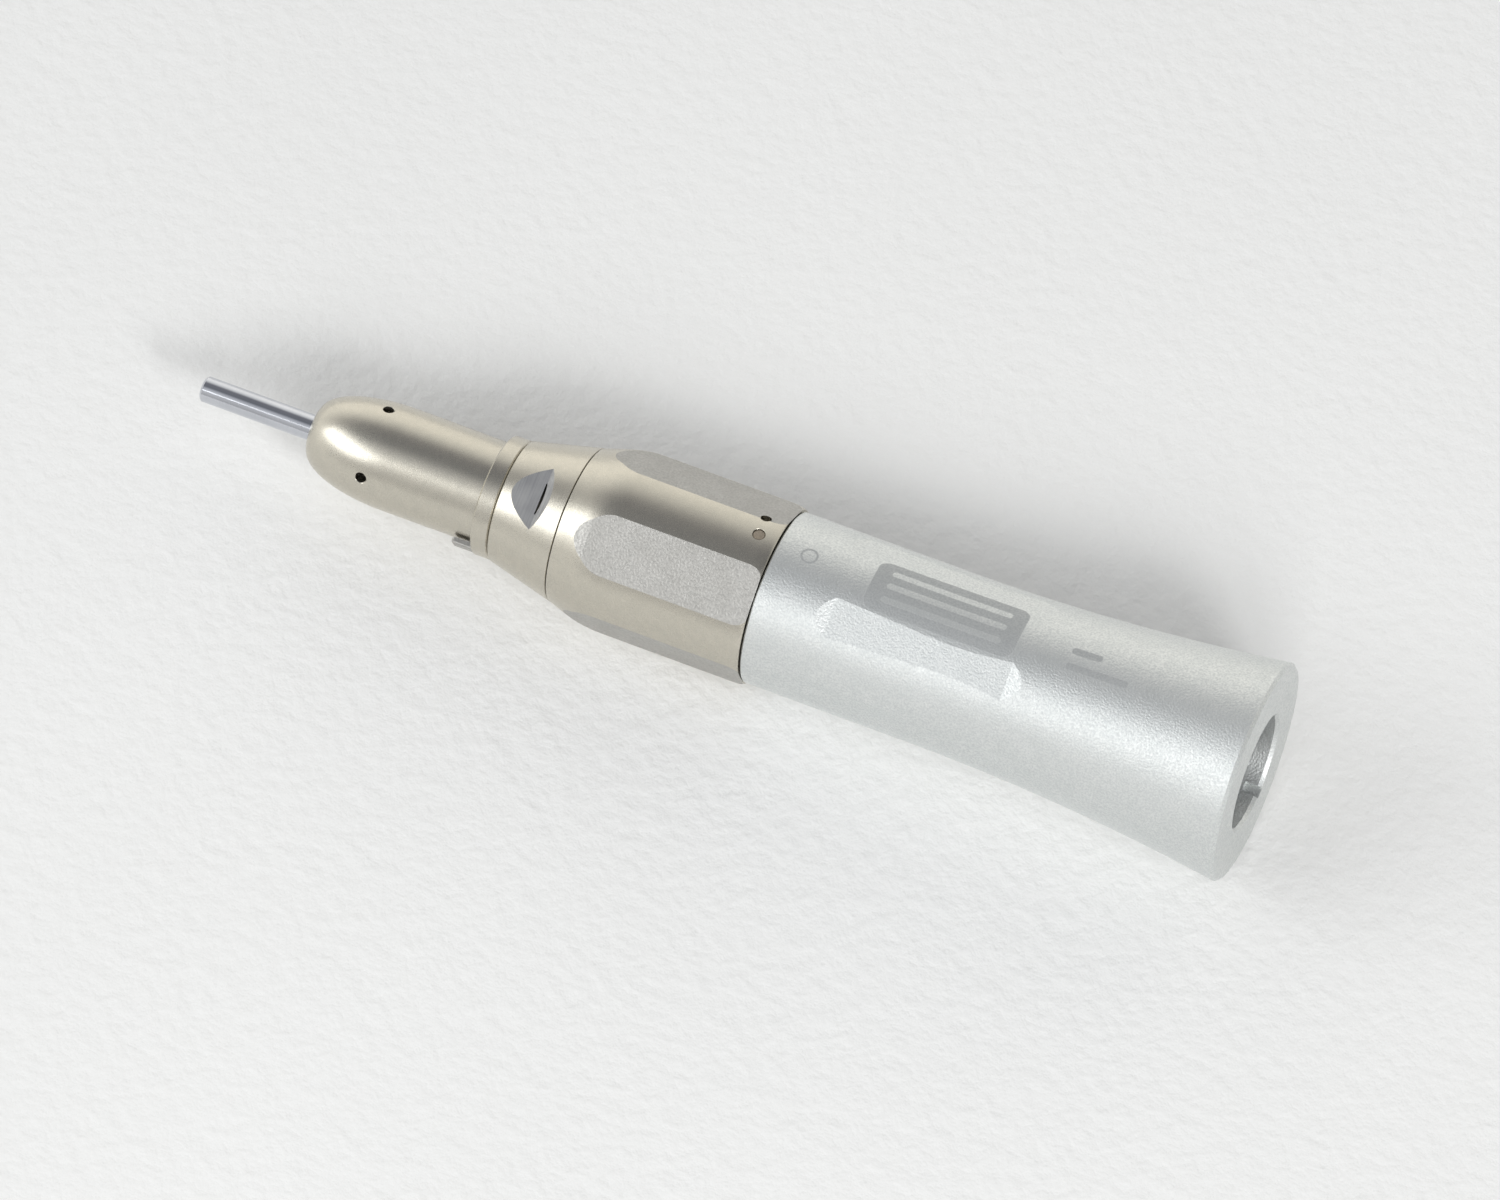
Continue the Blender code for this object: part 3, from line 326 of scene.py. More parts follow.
def cut(mesh, tool, finish=0):
    """The mesh with a tool shape cut out of it. Cut faces take the given material number."""
    bmesh.ops.recalc_face_normals(tool, faces=tool.faces)
    for face in tool.faces:
        face.material_index = finish
    tool_mesh = bpy.data.meshes.new("cut_tool")
    tool.to_mesh(tool_mesh)
    tool.free()
    for item in (mesh, tool_mesh):
        while len(item.materials) < 2:
            item.materials.append(None)
    piece = bpy.data.objects.new("cut_piece", mesh)
    cutter = bpy.data.objects.new("cut_tool", tool_mesh)
    for item in (piece, cutter):
        bpy.context.scene.collection.objects.link(item)
    step = piece.modifiers.new("Cut", "BOOLEAN")
    step.operation = "DIFFERENCE"
    step.solver = "EXACT"
    step.material_mode = "INDEX"
    step.object = cutter
    bpy.context.view_layer.update()
    evaluated = piece.evaluated_get(bpy.context.evaluated_depsgraph_get())
    result = bpy.data.meshes.new_from_object(evaluated)
    result.name = mesh.name
    bpy.data.objects.remove(piece)
    bpy.data.objects.remove(cutter)
    return result


# ---------------------------------------------------------------- material nodes


def new_material(name):
    material = bpy.data.materials.new(name)
    material.use_nodes = True
    return material, material.node_tree, material.node_tree.nodes["Principled BSDF"]


def object_point(tree, stretch=(1.0, 1.0, 1.0)):
    """Object coordinates in metres, scaled along each axis."""
    coords = tree.nodes.new("ShaderNodeTexCoord")
    scale = tree.nodes.new("ShaderNodeMapping")
    scale.inputs["Scale"].default_value = stretch
    tree.links.new(coords.outputs["Object"], scale.inputs["Vector"])
    return scale.outputs["Vector"]


def grain(tree, point, size, detail=2.0, roughness=0.5):
    """Noise with grains of a size in mm. Returns its 0 to 1 value."""
    noise = tree.nodes.new("ShaderNodeTexNoise")
    noise.inputs["Scale"].default_value = 1.0 / (size * MM)
    noise.inputs["Detail"].default_value = detail
    noise.inputs["Roughness"].default_value = roughness
    tree.links.new(point, noise.inputs["Vector"])
    return noise.outputs["Fac"]


def spread(tree, value, low, high, out_low, out_high):
    """Maps a value from one range to another, clamped."""
    made = tree.nodes.new("ShaderNodeMapRange")
    made.inputs["From Min"].default_value = low
    made.inputs["From Max"].default_value = high
    made.inputs["To Min"].default_value = out_low
    made.inputs["To Max"].default_value = out_high
    tree.links.new(value, made.inputs["Value"])
    return made.outputs["Result"]


def blend_colours(tree, share, first, second):
    """A colour between two, by a 0 to 1 value. Each colour is a tuple or an output."""
    made = tree.nodes.new("ShaderNodeMix")
    made.data_type = "RGBA"
    tree.links.new(share, made.inputs["Factor"])
    for key, colour in ((6, first), (7, second)):
        if isinstance(colour, tuple):
            made.inputs[key].default_value = (*colour, 1.0)
        else:
            tree.links.new(colour, made.inputs[key])
    return made.outputs[2]


def maths(tree, kind, first, second=None):
    made = tree.nodes.new("ShaderNodeMath")
    made.operation = kind
    for key, value in ((0, first), (1, second)):
        if value is None:
            continue
        if isinstance(value, (int, float)):
            made.inputs[key].default_value = value
        else:
            tree.links.new(value, made.inputs[key])
    return made.outputs[0]


def bump(tree, height, depth):
    """A bump of a depth in mm."""
    made = tree.nodes.new("ShaderNodeBump")
    made.inputs["Distance"].default_value = depth * MM
    made.inputs["Strength"].default_value = 1.0
    tree.links.new(height, made.inputs["Height"])
    return made.outputs["Normal"]


def blasted_metal(name, colour, tint, rough, size, depth, speckle=0.18):
    """Metal blasted with fine beads: an even satin grain that sparkles a little."""
    material, tree, shader = new_material(name)
    point = object_point(tree)
    coarse = grain(tree, point, size * 9.0)
    fine = grain(tree, point, size, detail=3.0)
    shader.inputs["Metallic"].default_value = 1.0
    tone = blend_colours(tree, spread(tree, coarse, 0.35, 0.65, 0.0, 1.0), colour, tint)
    speck = spread(tree, fine, 0.35, 0.65, 0.0, speckle)
    dark = tuple(0.6 * part for part in colour)
    tree.links.new(blend_colours(tree, speck, tone, dark), shader.inputs["Base Color"])
    tree.links.new(spread(tree, fine, 0.3, 0.7, rough - 0.06, rough + 0.06), shader.inputs["Roughness"])
    tree.links.new(bump(tree, fine, depth), shader.inputs["Normal"])
    return material


def turned_metal(name, colour, tint, rough, pitch, depth):
    """Metal with fine tool marks that run round the long axis."""
    material, tree, shader = new_material(name)
    lines = grain(tree, object_point(tree, (1.0, 0.02, 0.02)), pitch, detail=3.0)
    patches = grain(tree, object_point(tree), 2.5)
    shader.inputs["Metallic"].default_value = 1.0
    mixed = maths(tree, "ADD", lines, patches)
    tone = blend_colours(tree, spread(tree, mixed, 0.75, 1.25, 0.0, 1.0), colour, tint)
    tree.links.new(tone, shader.inputs["Base Color"])
    tree.links.new(spread(tree, lines, 0.3, 0.7, rough - 0.05, rough + 0.05), shader.inputs["Roughness"])
    tree.links.new(bump(tree, lines, depth), shader.inputs["Normal"])
    return material


def moulded_rubber(name, colour):
    material, tree, shader = new_material(name)
    fine = grain(tree, object_point(tree), 0.08, detail=3.0)
    shade = tuple(1.6 * part for part in colour)
    tone = blend_colours(tree, spread(tree, fine, 0.35, 0.7, 0.0, 1.0), colour, shade)
    tree.links.new(tone, shader.inputs["Base Color"])
    tree.links.new(spread(tree, fine, 0.3, 0.7, 0.55, 0.75), shader.inputs["Roughness"])
    tree.links.new(bump(tree, fine, 0.006), shader.inputs["Normal"])
    return material


def dull_enamel(name, colour):
    material, tree, shader = new_material(name)
    fine = grain(tree, object_point(tree), 0.12, detail=2.0)
    shade = tuple(0.7 * part for part in colour)
    tone = blend_colours(tree, spread(tree, fine, 0.35, 0.65, 0.0, 1.0), colour, shade)
    tree.links.new(tone, shader.inputs["Base Color"])
    tree.links.new(spread(tree, fine, 0.3, 0.7, 0.35, 0.5), shader.inputs["Roughness"])
    tree.links.new(bump(tree, fine, 0.01), shader.inputs["Normal"])
    return material


def drawn_wire(name, colour, tint):
    """Hardened spring steel with a dark heat tint."""
    material, tree, shader = new_material(name)
    streaks = grain(tree, object_point(tree, (0.3, 1.0, 1.0)), 0.06, detail=2.0)
    patches = grain(tree, object_point(tree), 1.2)
    shader.inputs["Metallic"].default_value = 1.0
    tone = blend_colours(tree, spread(tree, patches, 0.35, 0.65, 0.0, 1.0), colour, tint)
    tree.links.new(tone, shader.inputs["Base Color"])
    tree.links.new(spread(tree, streaks, 0.3, 0.7, 0.28, 0.42), shader.inputs["Roughness"])
    tree.links.new(bump(tree, streaks, 0.003), shader.inputs["Normal"])
    return material


def surface_place(tree):
    """Where a point lies on the sheath: its station in mm, and its distance in mm round the
    sheath from straight up."""
    coords = tree.nodes.new("ShaderNodeTexCoord")
    split = tree.nodes.new("ShaderNodeSeparateXYZ")
    tree.links.new(coords.outputs["Object"], split.inputs[0])
    ahead = maths(tree, "SUBTRACT", REAR_X, split.outputs["X"])
    station = maths(tree, "MULTIPLY", ahead, 1 / MM)
    height = maths(tree, "SUBTRACT", split.outputs["Z"], AXIS_Z)
    front = maths(tree, "MULTIPLY", split.outputs["Y"], -1.0)
    turn = maths(tree, "ARCTAN2", front, height)
    around = maths(tree, "MULTIPLY", turn, SHEATH_RADIUS)
    place = tree.nodes.new("ShaderNodeCombineXYZ")
    tree.links.new(station, place.inputs["X"])
    tree.links.new(around, place.inputs["Y"])
    return place.outputs[0]


def rounded_box(tree, place, centre, half, corner):
    """Distance in mm from the outline of a rounded box on the sheath: below 0 inside it."""
    value = place
    for kind, operand in (
        ("SUBTRACT", (*centre, 0.0)),
        ("ABSOLUTE", None),
        ("SUBTRACT", (half[0] - corner, half[1] - corner, 0.0)),
        ("MAXIMUM", (0.0, 0.0, 0.0)),
    ):
        step = tree.nodes.new("ShaderNodeVectorMath")
        step.operation = kind
        tree.links.new(value, step.inputs[0])
        if operand is not None:
            step.inputs[1].default_value = operand
        value = step.outputs[0]
    length = tree.nodes.new("ShaderNodeVectorMath")
    length.operation = "LENGTH"
    tree.links.new(value, length.inputs[0])
    return maths(tree, "SUBTRACT", length.outputs["Value"], corner)


def inside(tree, distance, soft=0.05):
    return spread(tree, distance, -soft, soft, 1.0, 0.0)


def outline_of(tree, distance, width):
    return inside(tree, maths(tree, "SUBTRACT", maths(tree, "ABSOLUTE", distance), width / 2))


def sheath_marks(tree):
    """Plain laser marks: a blank panel with three bars, an outlined spot and two dashes."""
    place = surface_place(tree)
    marks = [
        outline_of(tree, rounded_box(tree, place, (42.1, -0.5), (0.7, 0.7), 0.7), 0.2),
        inside(tree, rounded_box(tree, place, (29.2, -0.4), (7.0, 2.7), 1.0)),
        inside(tree, rounded_box(tree, place, (14.6, 1.1), (2.9, 0.32), 0.3)),
        inside(tree, rounded_box(tree, place, (16.1, -0.4), (1.4, 0.32), 0.3)),
    ]
    blank = marks[1]
    for around in (1.0, -0.4, -1.8):
        bar = inside(tree, rounded_box(tree, place, (29.2, around), (5.6, 0.3), 0.3))
        blank = maths(tree, "SUBTRACT", blank, maths(tree, "MULTIPLY", bar, 0.75))
    whole = blank
    for mark in (marks[0], marks[2], marks[3]):
        whole = maths(tree, "MAXIMUM", whole, mark)
    return whole


def anodised_sheath():
    """Coarsely blasted, clear anodised aluminium that carries the laser marks."""
    material, tree, shader = new_material("anodised_sheath")
    point = object_point(tree)
    coarse = grain(tree, point, 1.6)
    fine = grain(tree, point, 0.18, detail=2.0)
    shader.inputs["Metallic"].default_value = 1.0
    tone = blend_colours(
        tree, spread(tree, coarse, 0.35, 0.65, 0.0, 1.0), (0.77, 0.785, 0.772), (0.735, 0.755, 0.742)
    )
    speck = spread(tree, fine, 0.35, 0.65, 0.0, 0.75)
    tone = blend_colours(tree, speck, tone, (0.60, 0.62, 0.62))
    marks = sheath_marks(tree)
    tone = blend_colours(tree, maths(tree, "MULTIPLY", marks, 0.58), tone, (0.36, 0.37, 0.38))
    tree.links.new(tone, shader.inputs["Base Color"])
    rough = spread(tree, fine, 0.3, 0.7, 0.43, 0.55)
    rough = maths(tree, "ADD", rough, maths(tree, "MULTIPLY", marks, 0.22))
    tree.links.new(rough, shader.inputs["Roughness"])
    tree.links.new(bump(tree, fine, 0.035), shader.inputs["Normal"])
    return material


MATERIALS = {
    "nickel": blasted_metal("nickel", (0.62, 0.585, 0.505), (0.59, 0.56, 0.485), 0.29, 0.09, 0.004),
    "ring_flat": blasted_metal(
        "ring_flat", (0.50, 0.49, 0.465), (0.46, 0.45, 0.425), 0.42, 0.20, 0.035, speckle=0.45
    ),
    "milled": turned_metal("milled", (0.58, 0.58, 0.57), (0.36, 0.36, 0.37), 0.42, 0.14, 0.010),
    "sheath": anodised_sheath(),
    "ground": turned_metal("ground", (0.62, 0.62, 0.63), (0.55, 0.56, 0.58), 0.30, 0.05, 0.003),
    "polished": turned_metal("polished", (0.62, 0.635, 0.675), (0.57, 0.585, 0.625), 0.10, 0.04, 0.0008),
    "race": turned_metal("race", (0.60, 0.61, 0.63), (0.56, 0.57, 0.60), 0.16, 0.05, 0.001),
    "brass": turned_metal("brass", (0.78, 0.60, 0.30), (0.70, 0.52, 0.26), 0.32, 0.08, 0.003),
    "spring": drawn_wire("spring", (0.46, 0.46, 0.48), (0.36, 0.33, 0.32)),
    "rubber": moulded_rubber("rubber", (0.03, 0.03, 0.03)),
    "enamel": dull_enamel("enamel", (0.28, 0.235, 0.18)),
}
SLOT_FINISH = {
    "satin_nickel": "nickel",
    "satin_aluminium": "sheath",
    "ground_steel": "ground",
    "polished_steel": "polished",
    "bearing_steel": "race",
    "cage_brass": "brass",
    "spring_steel": "spring",
    "seal_rubber": "rubber",
    "dot_enamel": "enamel",
}


# ---------------------------------------------------------------- pieces


def flare_radius(station):
    """Outer radius of the sheath: an arc, tangent to its straight front part."""
    rise = REAR_RADIUS - SHEATH_RADIUS
    run = FLARE_START - EDGE_CHAMFER
    arc_radius = (run**2 + rise**2) / (2 * rise)
    back = max(FLARE_START - station, 0.0)
    return SHEATH_RADIUS + arc_radius - math.sqrt(arc_radius**2 - back**2)


def build_sheath():
    stations = steps(EDGE_CHAMFER, FLARE_START, 40)
    stations += steps(FLARE_START + 1.0, SHEATH_FRONT - FRONT_CHAMFER, 8)
    outline = [(0.0, REAR_RADIUS - EDGE_CHAMFER)]
    outline += [(station, flare_radius(station)) for station in stations]
    outline += [
        (SHEATH_FRONT, SHEATH_RADIUS - FRONT_CHAMFER),
        (SHEATH_FRONT, SHEATH_BORE),
        (SOCKET_LIP, SHEATH_BORE),
        (SOCKET_LIP, SOCKET_RADIUS),
        (SOCKET_MOUTH_DEPTH, SOCKET_RADIUS),
        (0.0, SOCKET_MOUTH_RADIUS),
    ]
    mesh = turned_mesh("sheath", outline)
    (rear, rear_floor), (front, front_floor) = SCALLOP_REAR, SCALLOP_FRONT
    rise = SCALLOP_RUN_OUT * SCALLOP_RUN_OUT_SLOPE
    side = [
        (rear - SCALLOP_RUN_OUT, rear_floor + rise),
        (rear, rear_floor),
        (front, front_floor),
        (front + SCALLOP_RUN_OUT, front_floor + rise),
        (front + SCALLOP_RUN_OUT, REAR_RADIUS),
        (rear - SCALLOP_RUN_OUT, REAR_RADIUS),
    ]
    tools = bmesh.new()
    for k in range(SCALLOPS):
        add_slab(tools, side, SCALLOP_TOOL_WIDTH / 2, SCALLOP_ANGLE + 360.0 * k / SCALLOPS)
    floor, top = SOCKET_RADIUS - NOTCH_WIDTH, SOCKET_RADIUS + NOTCH_DEPTH
    side = [(-1.0, floor), (NOTCH_LENGTH, floor), (NOTCH_LENGTH, top), (-1.0, top)]
    add_slab(tools, side, NOTCH_WIDTH / 2, NOTCH_ANGLE)
    mesh = cut(mesh, tools)
    finish_piece(mesh, "sheath_body", "housing", ["sheath"], ["rear_sheath"], 4.0)


def build_liner():
    half = LINER_GROOVE_HALF
    slope = LINER_GROOVE_RADIUS - SOCKET_RADIUS
    outline = [
        (LINER_REAR, SOCKET_RADIUS),
        (LINER_REAR, LINER_OUTER),
        (LINER_FRONT, LINER_OUTER),
        (LINER_FRONT, SOCKET_RADIUS),
        (LINER_GROOVE + half + slope, SOCKET_RADIUS),
        (LINER_GROOVE + half, LINER_GROOVE_RADIUS),
        (LINER_GROOVE - half, LINER_GROOVE_RADIUS),
        (LINER_GROOVE - half - slope, SOCKET_RADIUS),
    ]
    mesh = turned_mesh("liner", outline)
    finish_piece(mesh, "socket_liner", "housing", ["ground"], ["coupling_liner"])


def ring_outline():
    """Outline of the ring without its flats: a rounded rear edge, a cylinder and a domed front."""
    outline = []
    rise = RING_RADIUS - RING_REAR_RADIUS
    for turn in steps(0.0, math.pi / 2, RING_ROUNDING_STEPS):
        station = RING_REAR + RING_REAR_ROUNDING * (1 - math.cos(turn))
        outline.append((station, RING_REAR_RADIUS + rise * math.sin(turn)))
    outline += [(station, RING_RADIUS) for station in steps(*RING_STRAIGHT, 8)]
    drop = (RING_RADIUS - RING_FRONT_RADIUS) / (1 - math.cos(RING_DOME_SWEEP))
    for share in steps(0.0, 1.0, RING_DOME_STEPS):
        radius = RING_RADIUS - drop * (1 - math.cos(RING_DOME_SWEEP * share))
        outline.append((RING_DOME_START + (RING_FRONT - RING_DOME_START) * share, radius))
    outline += [
        (RING_FRONT, RING_LIP_BORE),
        (RING_LIP_STATION, RING_LIP_BORE),
        (RING_LIP_STATION, RING_BORE),
        (RING_REAR, RING_BORE),
    ]
    return outline


def build_twist_ring():
    """The ring with its flats. Each flat has a straight front edge, and eases from there on."""
    front = RING_FRONT + 1.0
    side = [
        (RING_REAR - 1.0, RING_FLAT),
        (RING_FLAT_EASE_STATION, RING_FLAT),
        (front, RING_FLAT - (front - RING_FLAT_EASE_STATION) * RING_FLAT_EASE_SLOPE),
        (front, REAR_RADIUS),
        (RING_REAR - 1.0, REAR_RADIUS),
    ]
    flats = bmesh.new()
    for k in range(RING_FLATS):
        add_slab(flats, side, RING_FLAT_TOOL_WIDTH / 2, RING_FLAT_ANGLE + 360.0 * k / RING_FLATS)
    mesh = cut(turned_mesh("ring", ring_outline()), flats, 1)
    holes = bmesh.new()
    floor = RING_RADIUS - DOT_DEPTH
    radius = DOT_RADIUS + DOT_CLEARANCE
    add_hole(holes, DOT_STATION, DOT_ANGLE, floor, RING_RADIUS, radius, FINE_RIM)
    for angle in PIN_ANGLES:
        floor = RING_BORE - 1.0
        add_hole(holes, PIN_STATION, angle, floor, PIN_HOLE_TOP, PIN_HOLE_RADIUS, FINE_RIM)
    mesh = cut(mesh, holes)
    finish_piece(
        mesh, "ring_shell", "ring", ["nickel", "ring_flat"], ["twist_ring"], 8.0
    )


def build_dot():
    """Enamel dot with a slightly domed top."""
    top = RING_RADIUS - DOT_CLEARANCE
    rings = []
    for height, radius in (
        (top - DOT_THICKNESS, DOT_RADIUS),
        (top - 0.08, DOT_RADIUS),
        (top - 0.03, DOT_RADIUS - 0.05),
        (top, DOT_RADIUS * 0.55),
    ):
        ring = []
        for k in range(DOT_SIDES):
            turn = 2 * math.pi * k / DOT_SIDES
            ahead = math.cos(turn) * radius
            ring.append(spot(DOT_STATION + ahead, height, DOT_ANGLE, math.sin(turn) * radius))
        rings.append(ring)
    mesh = loop_mesh("dot", rings, closed=False)
    finish_piece(mesh, "ring_mark", "ring", ["enamel"], ["ring_dot"])


def build_collar():
    """A cone with a wrench flat on each side. Each flat has a sloped run-out at its rear."""
    along, across = COLLAR_REAR_EDGE
    outline = [
        (COLLAR_REAR, COLLAR_REAR_RADIUS - across),
        (COLLAR_REAR + along, COLLAR_REAR_RADIUS),
        (COLLAR_FRONT - COLLAR_FRONT_EDGE, COLLAR_FRONT_RADIUS),
        (COLLAR_FRONT, COLLAR_FRONT_RADIUS - COLLAR_FRONT_EDGE),
        (COLLAR_FRONT, SPIGOT_HOLE),
        (COLLAR_STEP, SPIGOT_HOLE),
        (COLLAR_STEP, SHEATH_BORE),
        (COLLAR_REAR, SHEATH_BORE),
    ]
    run = REAR_RADIUS - WRENCH_FLAT
    side = [
        (WRENCH_FLAT_REAR - run, REAR_RADIUS),
        (WRENCH_FLAT_REAR, WRENCH_FLAT),
        (COLLAR_FRONT + 1.0, WRENCH_FLAT),
        (COLLAR_FRONT + 1.0, REAR_RADIUS),
    ]
    flats = bmesh.new()
    for turn in (0.0, 180.0):
        add_slab(flats, side, REAR_RADIUS, WRENCH_ANGLE + turn)
    mesh = cut(turned_mesh("collar", outline), flats, 1)
    finish_piece(
        mesh, "collar_body", "housing", ["nickel", "milled"], ["front_collar"], 8.0
    )


def build_flange():
    outline = [
        (FLANGE_REAR, SPIGOT_HOLE),
        (FLANGE_REAR, FLANGE_RADIUS - FRONT_CHAMFER),
        (FLANGE_REAR + FRONT_CHAMFER, FLANGE_RADIUS),
        (FLANGE_FRONT - FRONT_CHAMFER, FLANGE_RADIUS),
        (FLANGE_FRONT, FLANGE_RADIUS - FRONT_CHAMFER),
        (FLANGE_FRONT, FLANGE_COUNTERBORE),
        (FLANGE_COUNTERBORE_REAR, FLANGE_COUNTERBORE),
        (FLANGE_COUNTERBORE_REAR, SPIGOT_HOLE),
    ]
    mesh = turned_mesh("flange", outline)
    finish_piece(mesh, "seat_flange", "housing", ["nickel"], ["attachment_flange"])


def build_lug():
    """The lug in front of the flange: a small block with rounded edges."""
    rings = []
    front = FLANGE_FRONT + LUG_REACH
    for station, inset in (
        (FLANGE_FRONT - LUG_ROOT, 0.0),
        (front - LUG_CORNER, 0.0),
        (front - 0.05, 0.04),
        (front, LUG_CORNER),
    ):
        half = LUG_WIDTH / 2 - inset
        top = LUG_TOP - inset * 0.7
        foot = LUG_FOOT + inset * 0.4
        edge = [(0.0, LUG_ROUNDING), (0.05, 0.03), (LUG_ROUNDING, 0.0)]
        side = [(-half, foot)] + [(-half + inwards, top - down) for inwards, down in edge]
        side += [(half - inwards, top - down) for inwards, down in reversed(edge)] + [(half, foot)]
        rings.append([spot(station, height, LUG_ANGLE, aside) for aside, height in side])
    mesh = loop_mesh("lug", rings, closed=False)
    finish_piece(mesh, "seat_lug", "housing", ["ring_flat"], (), 5.0)


def nose_point(share):
    """A (station, radius) on the nose from its turn-in, at share 0, to its mouth, at share 1."""
    turn = math.pi / 2 * share
    station = NOSE_TURN_STATION + (NOSE_FRONT - NOSE_TURN_STATION) * math.sin(turn)
    rise = (NOSE_BULGE_RADIUS - NOSE_TIP_RADIUS) * math.cos(turn) ** 0.9
    return station, NOSE_TIP_RADIUS + rise


def build_nose():
    bulge = NOSE_BULGE_RADIUS - NOSE_REAR_RADIUS
    outline = [
        (SPIGOT_REAR, NOSE_BORE),
        (SPIGOT_REAR, SPIGOT_RADIUS),
        (NOSE_SHOULDER, SPIGOT_RADIUS),
        (NOSE_SHOULDER, NOSE_REAR_RADIUS - NOSE_EDGE),
        (NOSE_SHOULDER + NOSE_EDGE, NOSE_REAR_RADIUS),
    ]
    for share in steps(0.0, 1.0, NOSE_BULGE_STEPS):
        station = NOSE_BULGE_START + (NOSE_BULGE_STATION - NOSE_BULGE_START) * share
        outline.append((station, NOSE_REAR_RADIUS + bulge * share))
    outline += [nose_point(share) for share in steps(0.0, 1.0, NOSE_TIP_STEPS)]
    outline += [
        (NOSE_FRONT, NOSE_MOUTH_RADIUS + NOSE_EDGE),
        (NOSE_FRONT - NOSE_EDGE, NOSE_MOUTH_RADIUS),
        (NOSE_TIP_WALL, NOSE_MOUTH_RADIUS),
        (NOSE_TIP_WALL, NOSE_TIP_BORE),
        (NOSE_SEAL_SHOULDER, NOSE_TIP_BORE),
        (NOSE_SEAL_SHOULDER, NOSE_SEAL_BORE),
        (NOSE_BORE_FRONT, NOSE_SEAL_BORE),
        (NOSE_BORE_FRONT, NOSE_BORE),
    ]
    mesh = turned_mesh("nose", outline)
    surface = NOSE_BULGE_RADIUS - NOSE_HOLE_DROP
    holes = bmesh.new()
    for k in range(NOSE_HOLES):
        angle = NOSE_HOLE_ANGLE + 360.0 * k / NOSE_HOLES
        add_hole(holes, NOSE_HOLE_STATION, angle, NOSE_HOLE_FLOOR, surface, NOSE_HOLE_RADIUS)
    mesh = cut(mesh, holes)
    finish_piece(mesh, "nose_shell", "housing", ["nickel"], ["nose_cone"])


def build_bar():
    outline = [
        (BAR_REAR, BAR_RADIUS - BAR_CHAMFER),
        (BAR_REAR + BAR_CHAMFER, BAR_RADIUS),
        (BAR_FRONT - BAR_CHAMFER, BAR_RADIUS),
        (BAR_FRONT, BAR_RADIUS - BAR_CHAMFER),
    ]
    mesh = turned_mesh("bar", outline, closed=False)
    finish_piece(mesh, "chuck_bar", "bar", ["polished"], ["test_bar"])


def build_fork():
    outline = [
        (FORK_REAR, FORK_RECESS),
        (FORK_REAR, FORK_RADIUS - FORK_CHAMFER),
        (FORK_REAR + FORK_CHAMFER, FORK_RADIUS),
        (FORK_FRONT, FORK_RADIUS),
        (FORK_FRONT, STEM_RADIUS),
        (STEM_FRONT, STEM_RADIUS),
        (STEM_FRONT, STEM_CORE),
        (FORK_FLOOR, STEM_CORE),
        (FORK_FLOOR, FORK_RECESS),
    ]
    half = FORK_SLOT_WIDTH / 2
    rear = FORK_REAR - 1.0
    side = [(rear, -half), (FORK_FLOOR, -half), (FORK_FLOOR, half), (rear, half)]
    slot = bmesh.new()
    add_slab(slot, side, REAR_RADIUS, 0.0)
    mesh = cut(turned_mesh("fork", outline), slot)
    finish_piece(mesh, "driven_fork", "spindle", ["ground"], ["drive_fork"])


def build_spring():
    """The chuck spring, built at one length. On the handpiece it shortens towards its rear end as the
    ring turns.
    """
    count = SPRING_TURNS * SPRING_STEPS
    rings = []
    for k in range(count + 1):
        station = SPRING_REAR + (SPRING_FRONT - SPRING_REAR) * k / count
        ring = []
        for j in range(SPRING_WIRE_SIDES):
            turn = 2 * math.pi * j / SPRING_WIRE_SIDES
            out = SPRING_RADIUS + SPRING_WIRE_RADIUS * math.sin(turn)
            ahead = SPRING_WIRE_RADIUS * math.cos(turn)
            ring.append(spot(station + ahead, out, 360.0 * k / SPRING_STEPS))
        rings.append(ring)
    mesh = loop_mesh("spring", rings, closed=False)
    spring = finish_piece(mesh, "chuck_coil", "chuck", ["spring"], ["chuck_spring"])
    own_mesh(spring)


def dress_cad_nodes():
    """Gives each CAD node that is still shown its finish and crisp, smooth edges."""
    slots = {part["node"]: part["material_slot"] for part in frame["record"]["subparts"]}
    for name, item in frame["nodes"].items():
        item.data.materials.clear()
        item.data.materials.append(MATERIALS[SLOT_FINISH[slots[name]]])
        for face in item.data.polygons:
            face.use_smooth = True
        edges = item.modifiers.new("Edges", "EDGE_SPLIT")
        edges.split_angle = math.radians(30.0)


# ---------------------------------------------------------------- studio

# The floor touches the rim of the sheath and the front edge of the ring's lowest flat.
FLOOR_SLOPE = (REAR_RADIUS - RING_FLAT) / (RING_FLAT_EASE_STATION - EDGE_CHAMFER)
FLOOR_HALF = 1.5
FLOOR_STEPS = 24
FLOOR_GAP = 0.00001

# The camera's lens in mm, and its place and axes in the frame.
CAMERA_SENSOR = 36.0
CAMERA_LENS = 264.0
CAMERA_PLACE = (0.206791, -0.467736, 0.820143)
CAMERA_RIGHT = (0.91753204, 0.39765757, -0.00184685)
CAMERA_AHEAD = (-0.21304197, 0.48762856, -0.84665903)


def paper_floor():
    material, tree, shader = new_material("paper_floor")
    point = object_point(tree)
    broad = grain(tree, point, 60.0)
    fibre = grain(tree, point, 1.5, detail=3.0, roughness=0.55)
    share = spread(tree, broad, 0.3, 0.7, 0.0, 1.0)
    tone = blend_colours(tree, share, (0.86, 0.86, 0.85), (0.84, 0.84, 0.83))
    tree.links.new(tone, shader.inputs["Base Color"])
    tree.links.new(spread(tree, fibre, 0.3, 0.7, 0.6, 0.75), shader.inputs["Roughness"])
    shader.inputs["Specular IOR Level"].default_value = 0.2
    tree.links.new(bump(tree, fibre, 0.22), shader.inputs["Normal"])
    return material


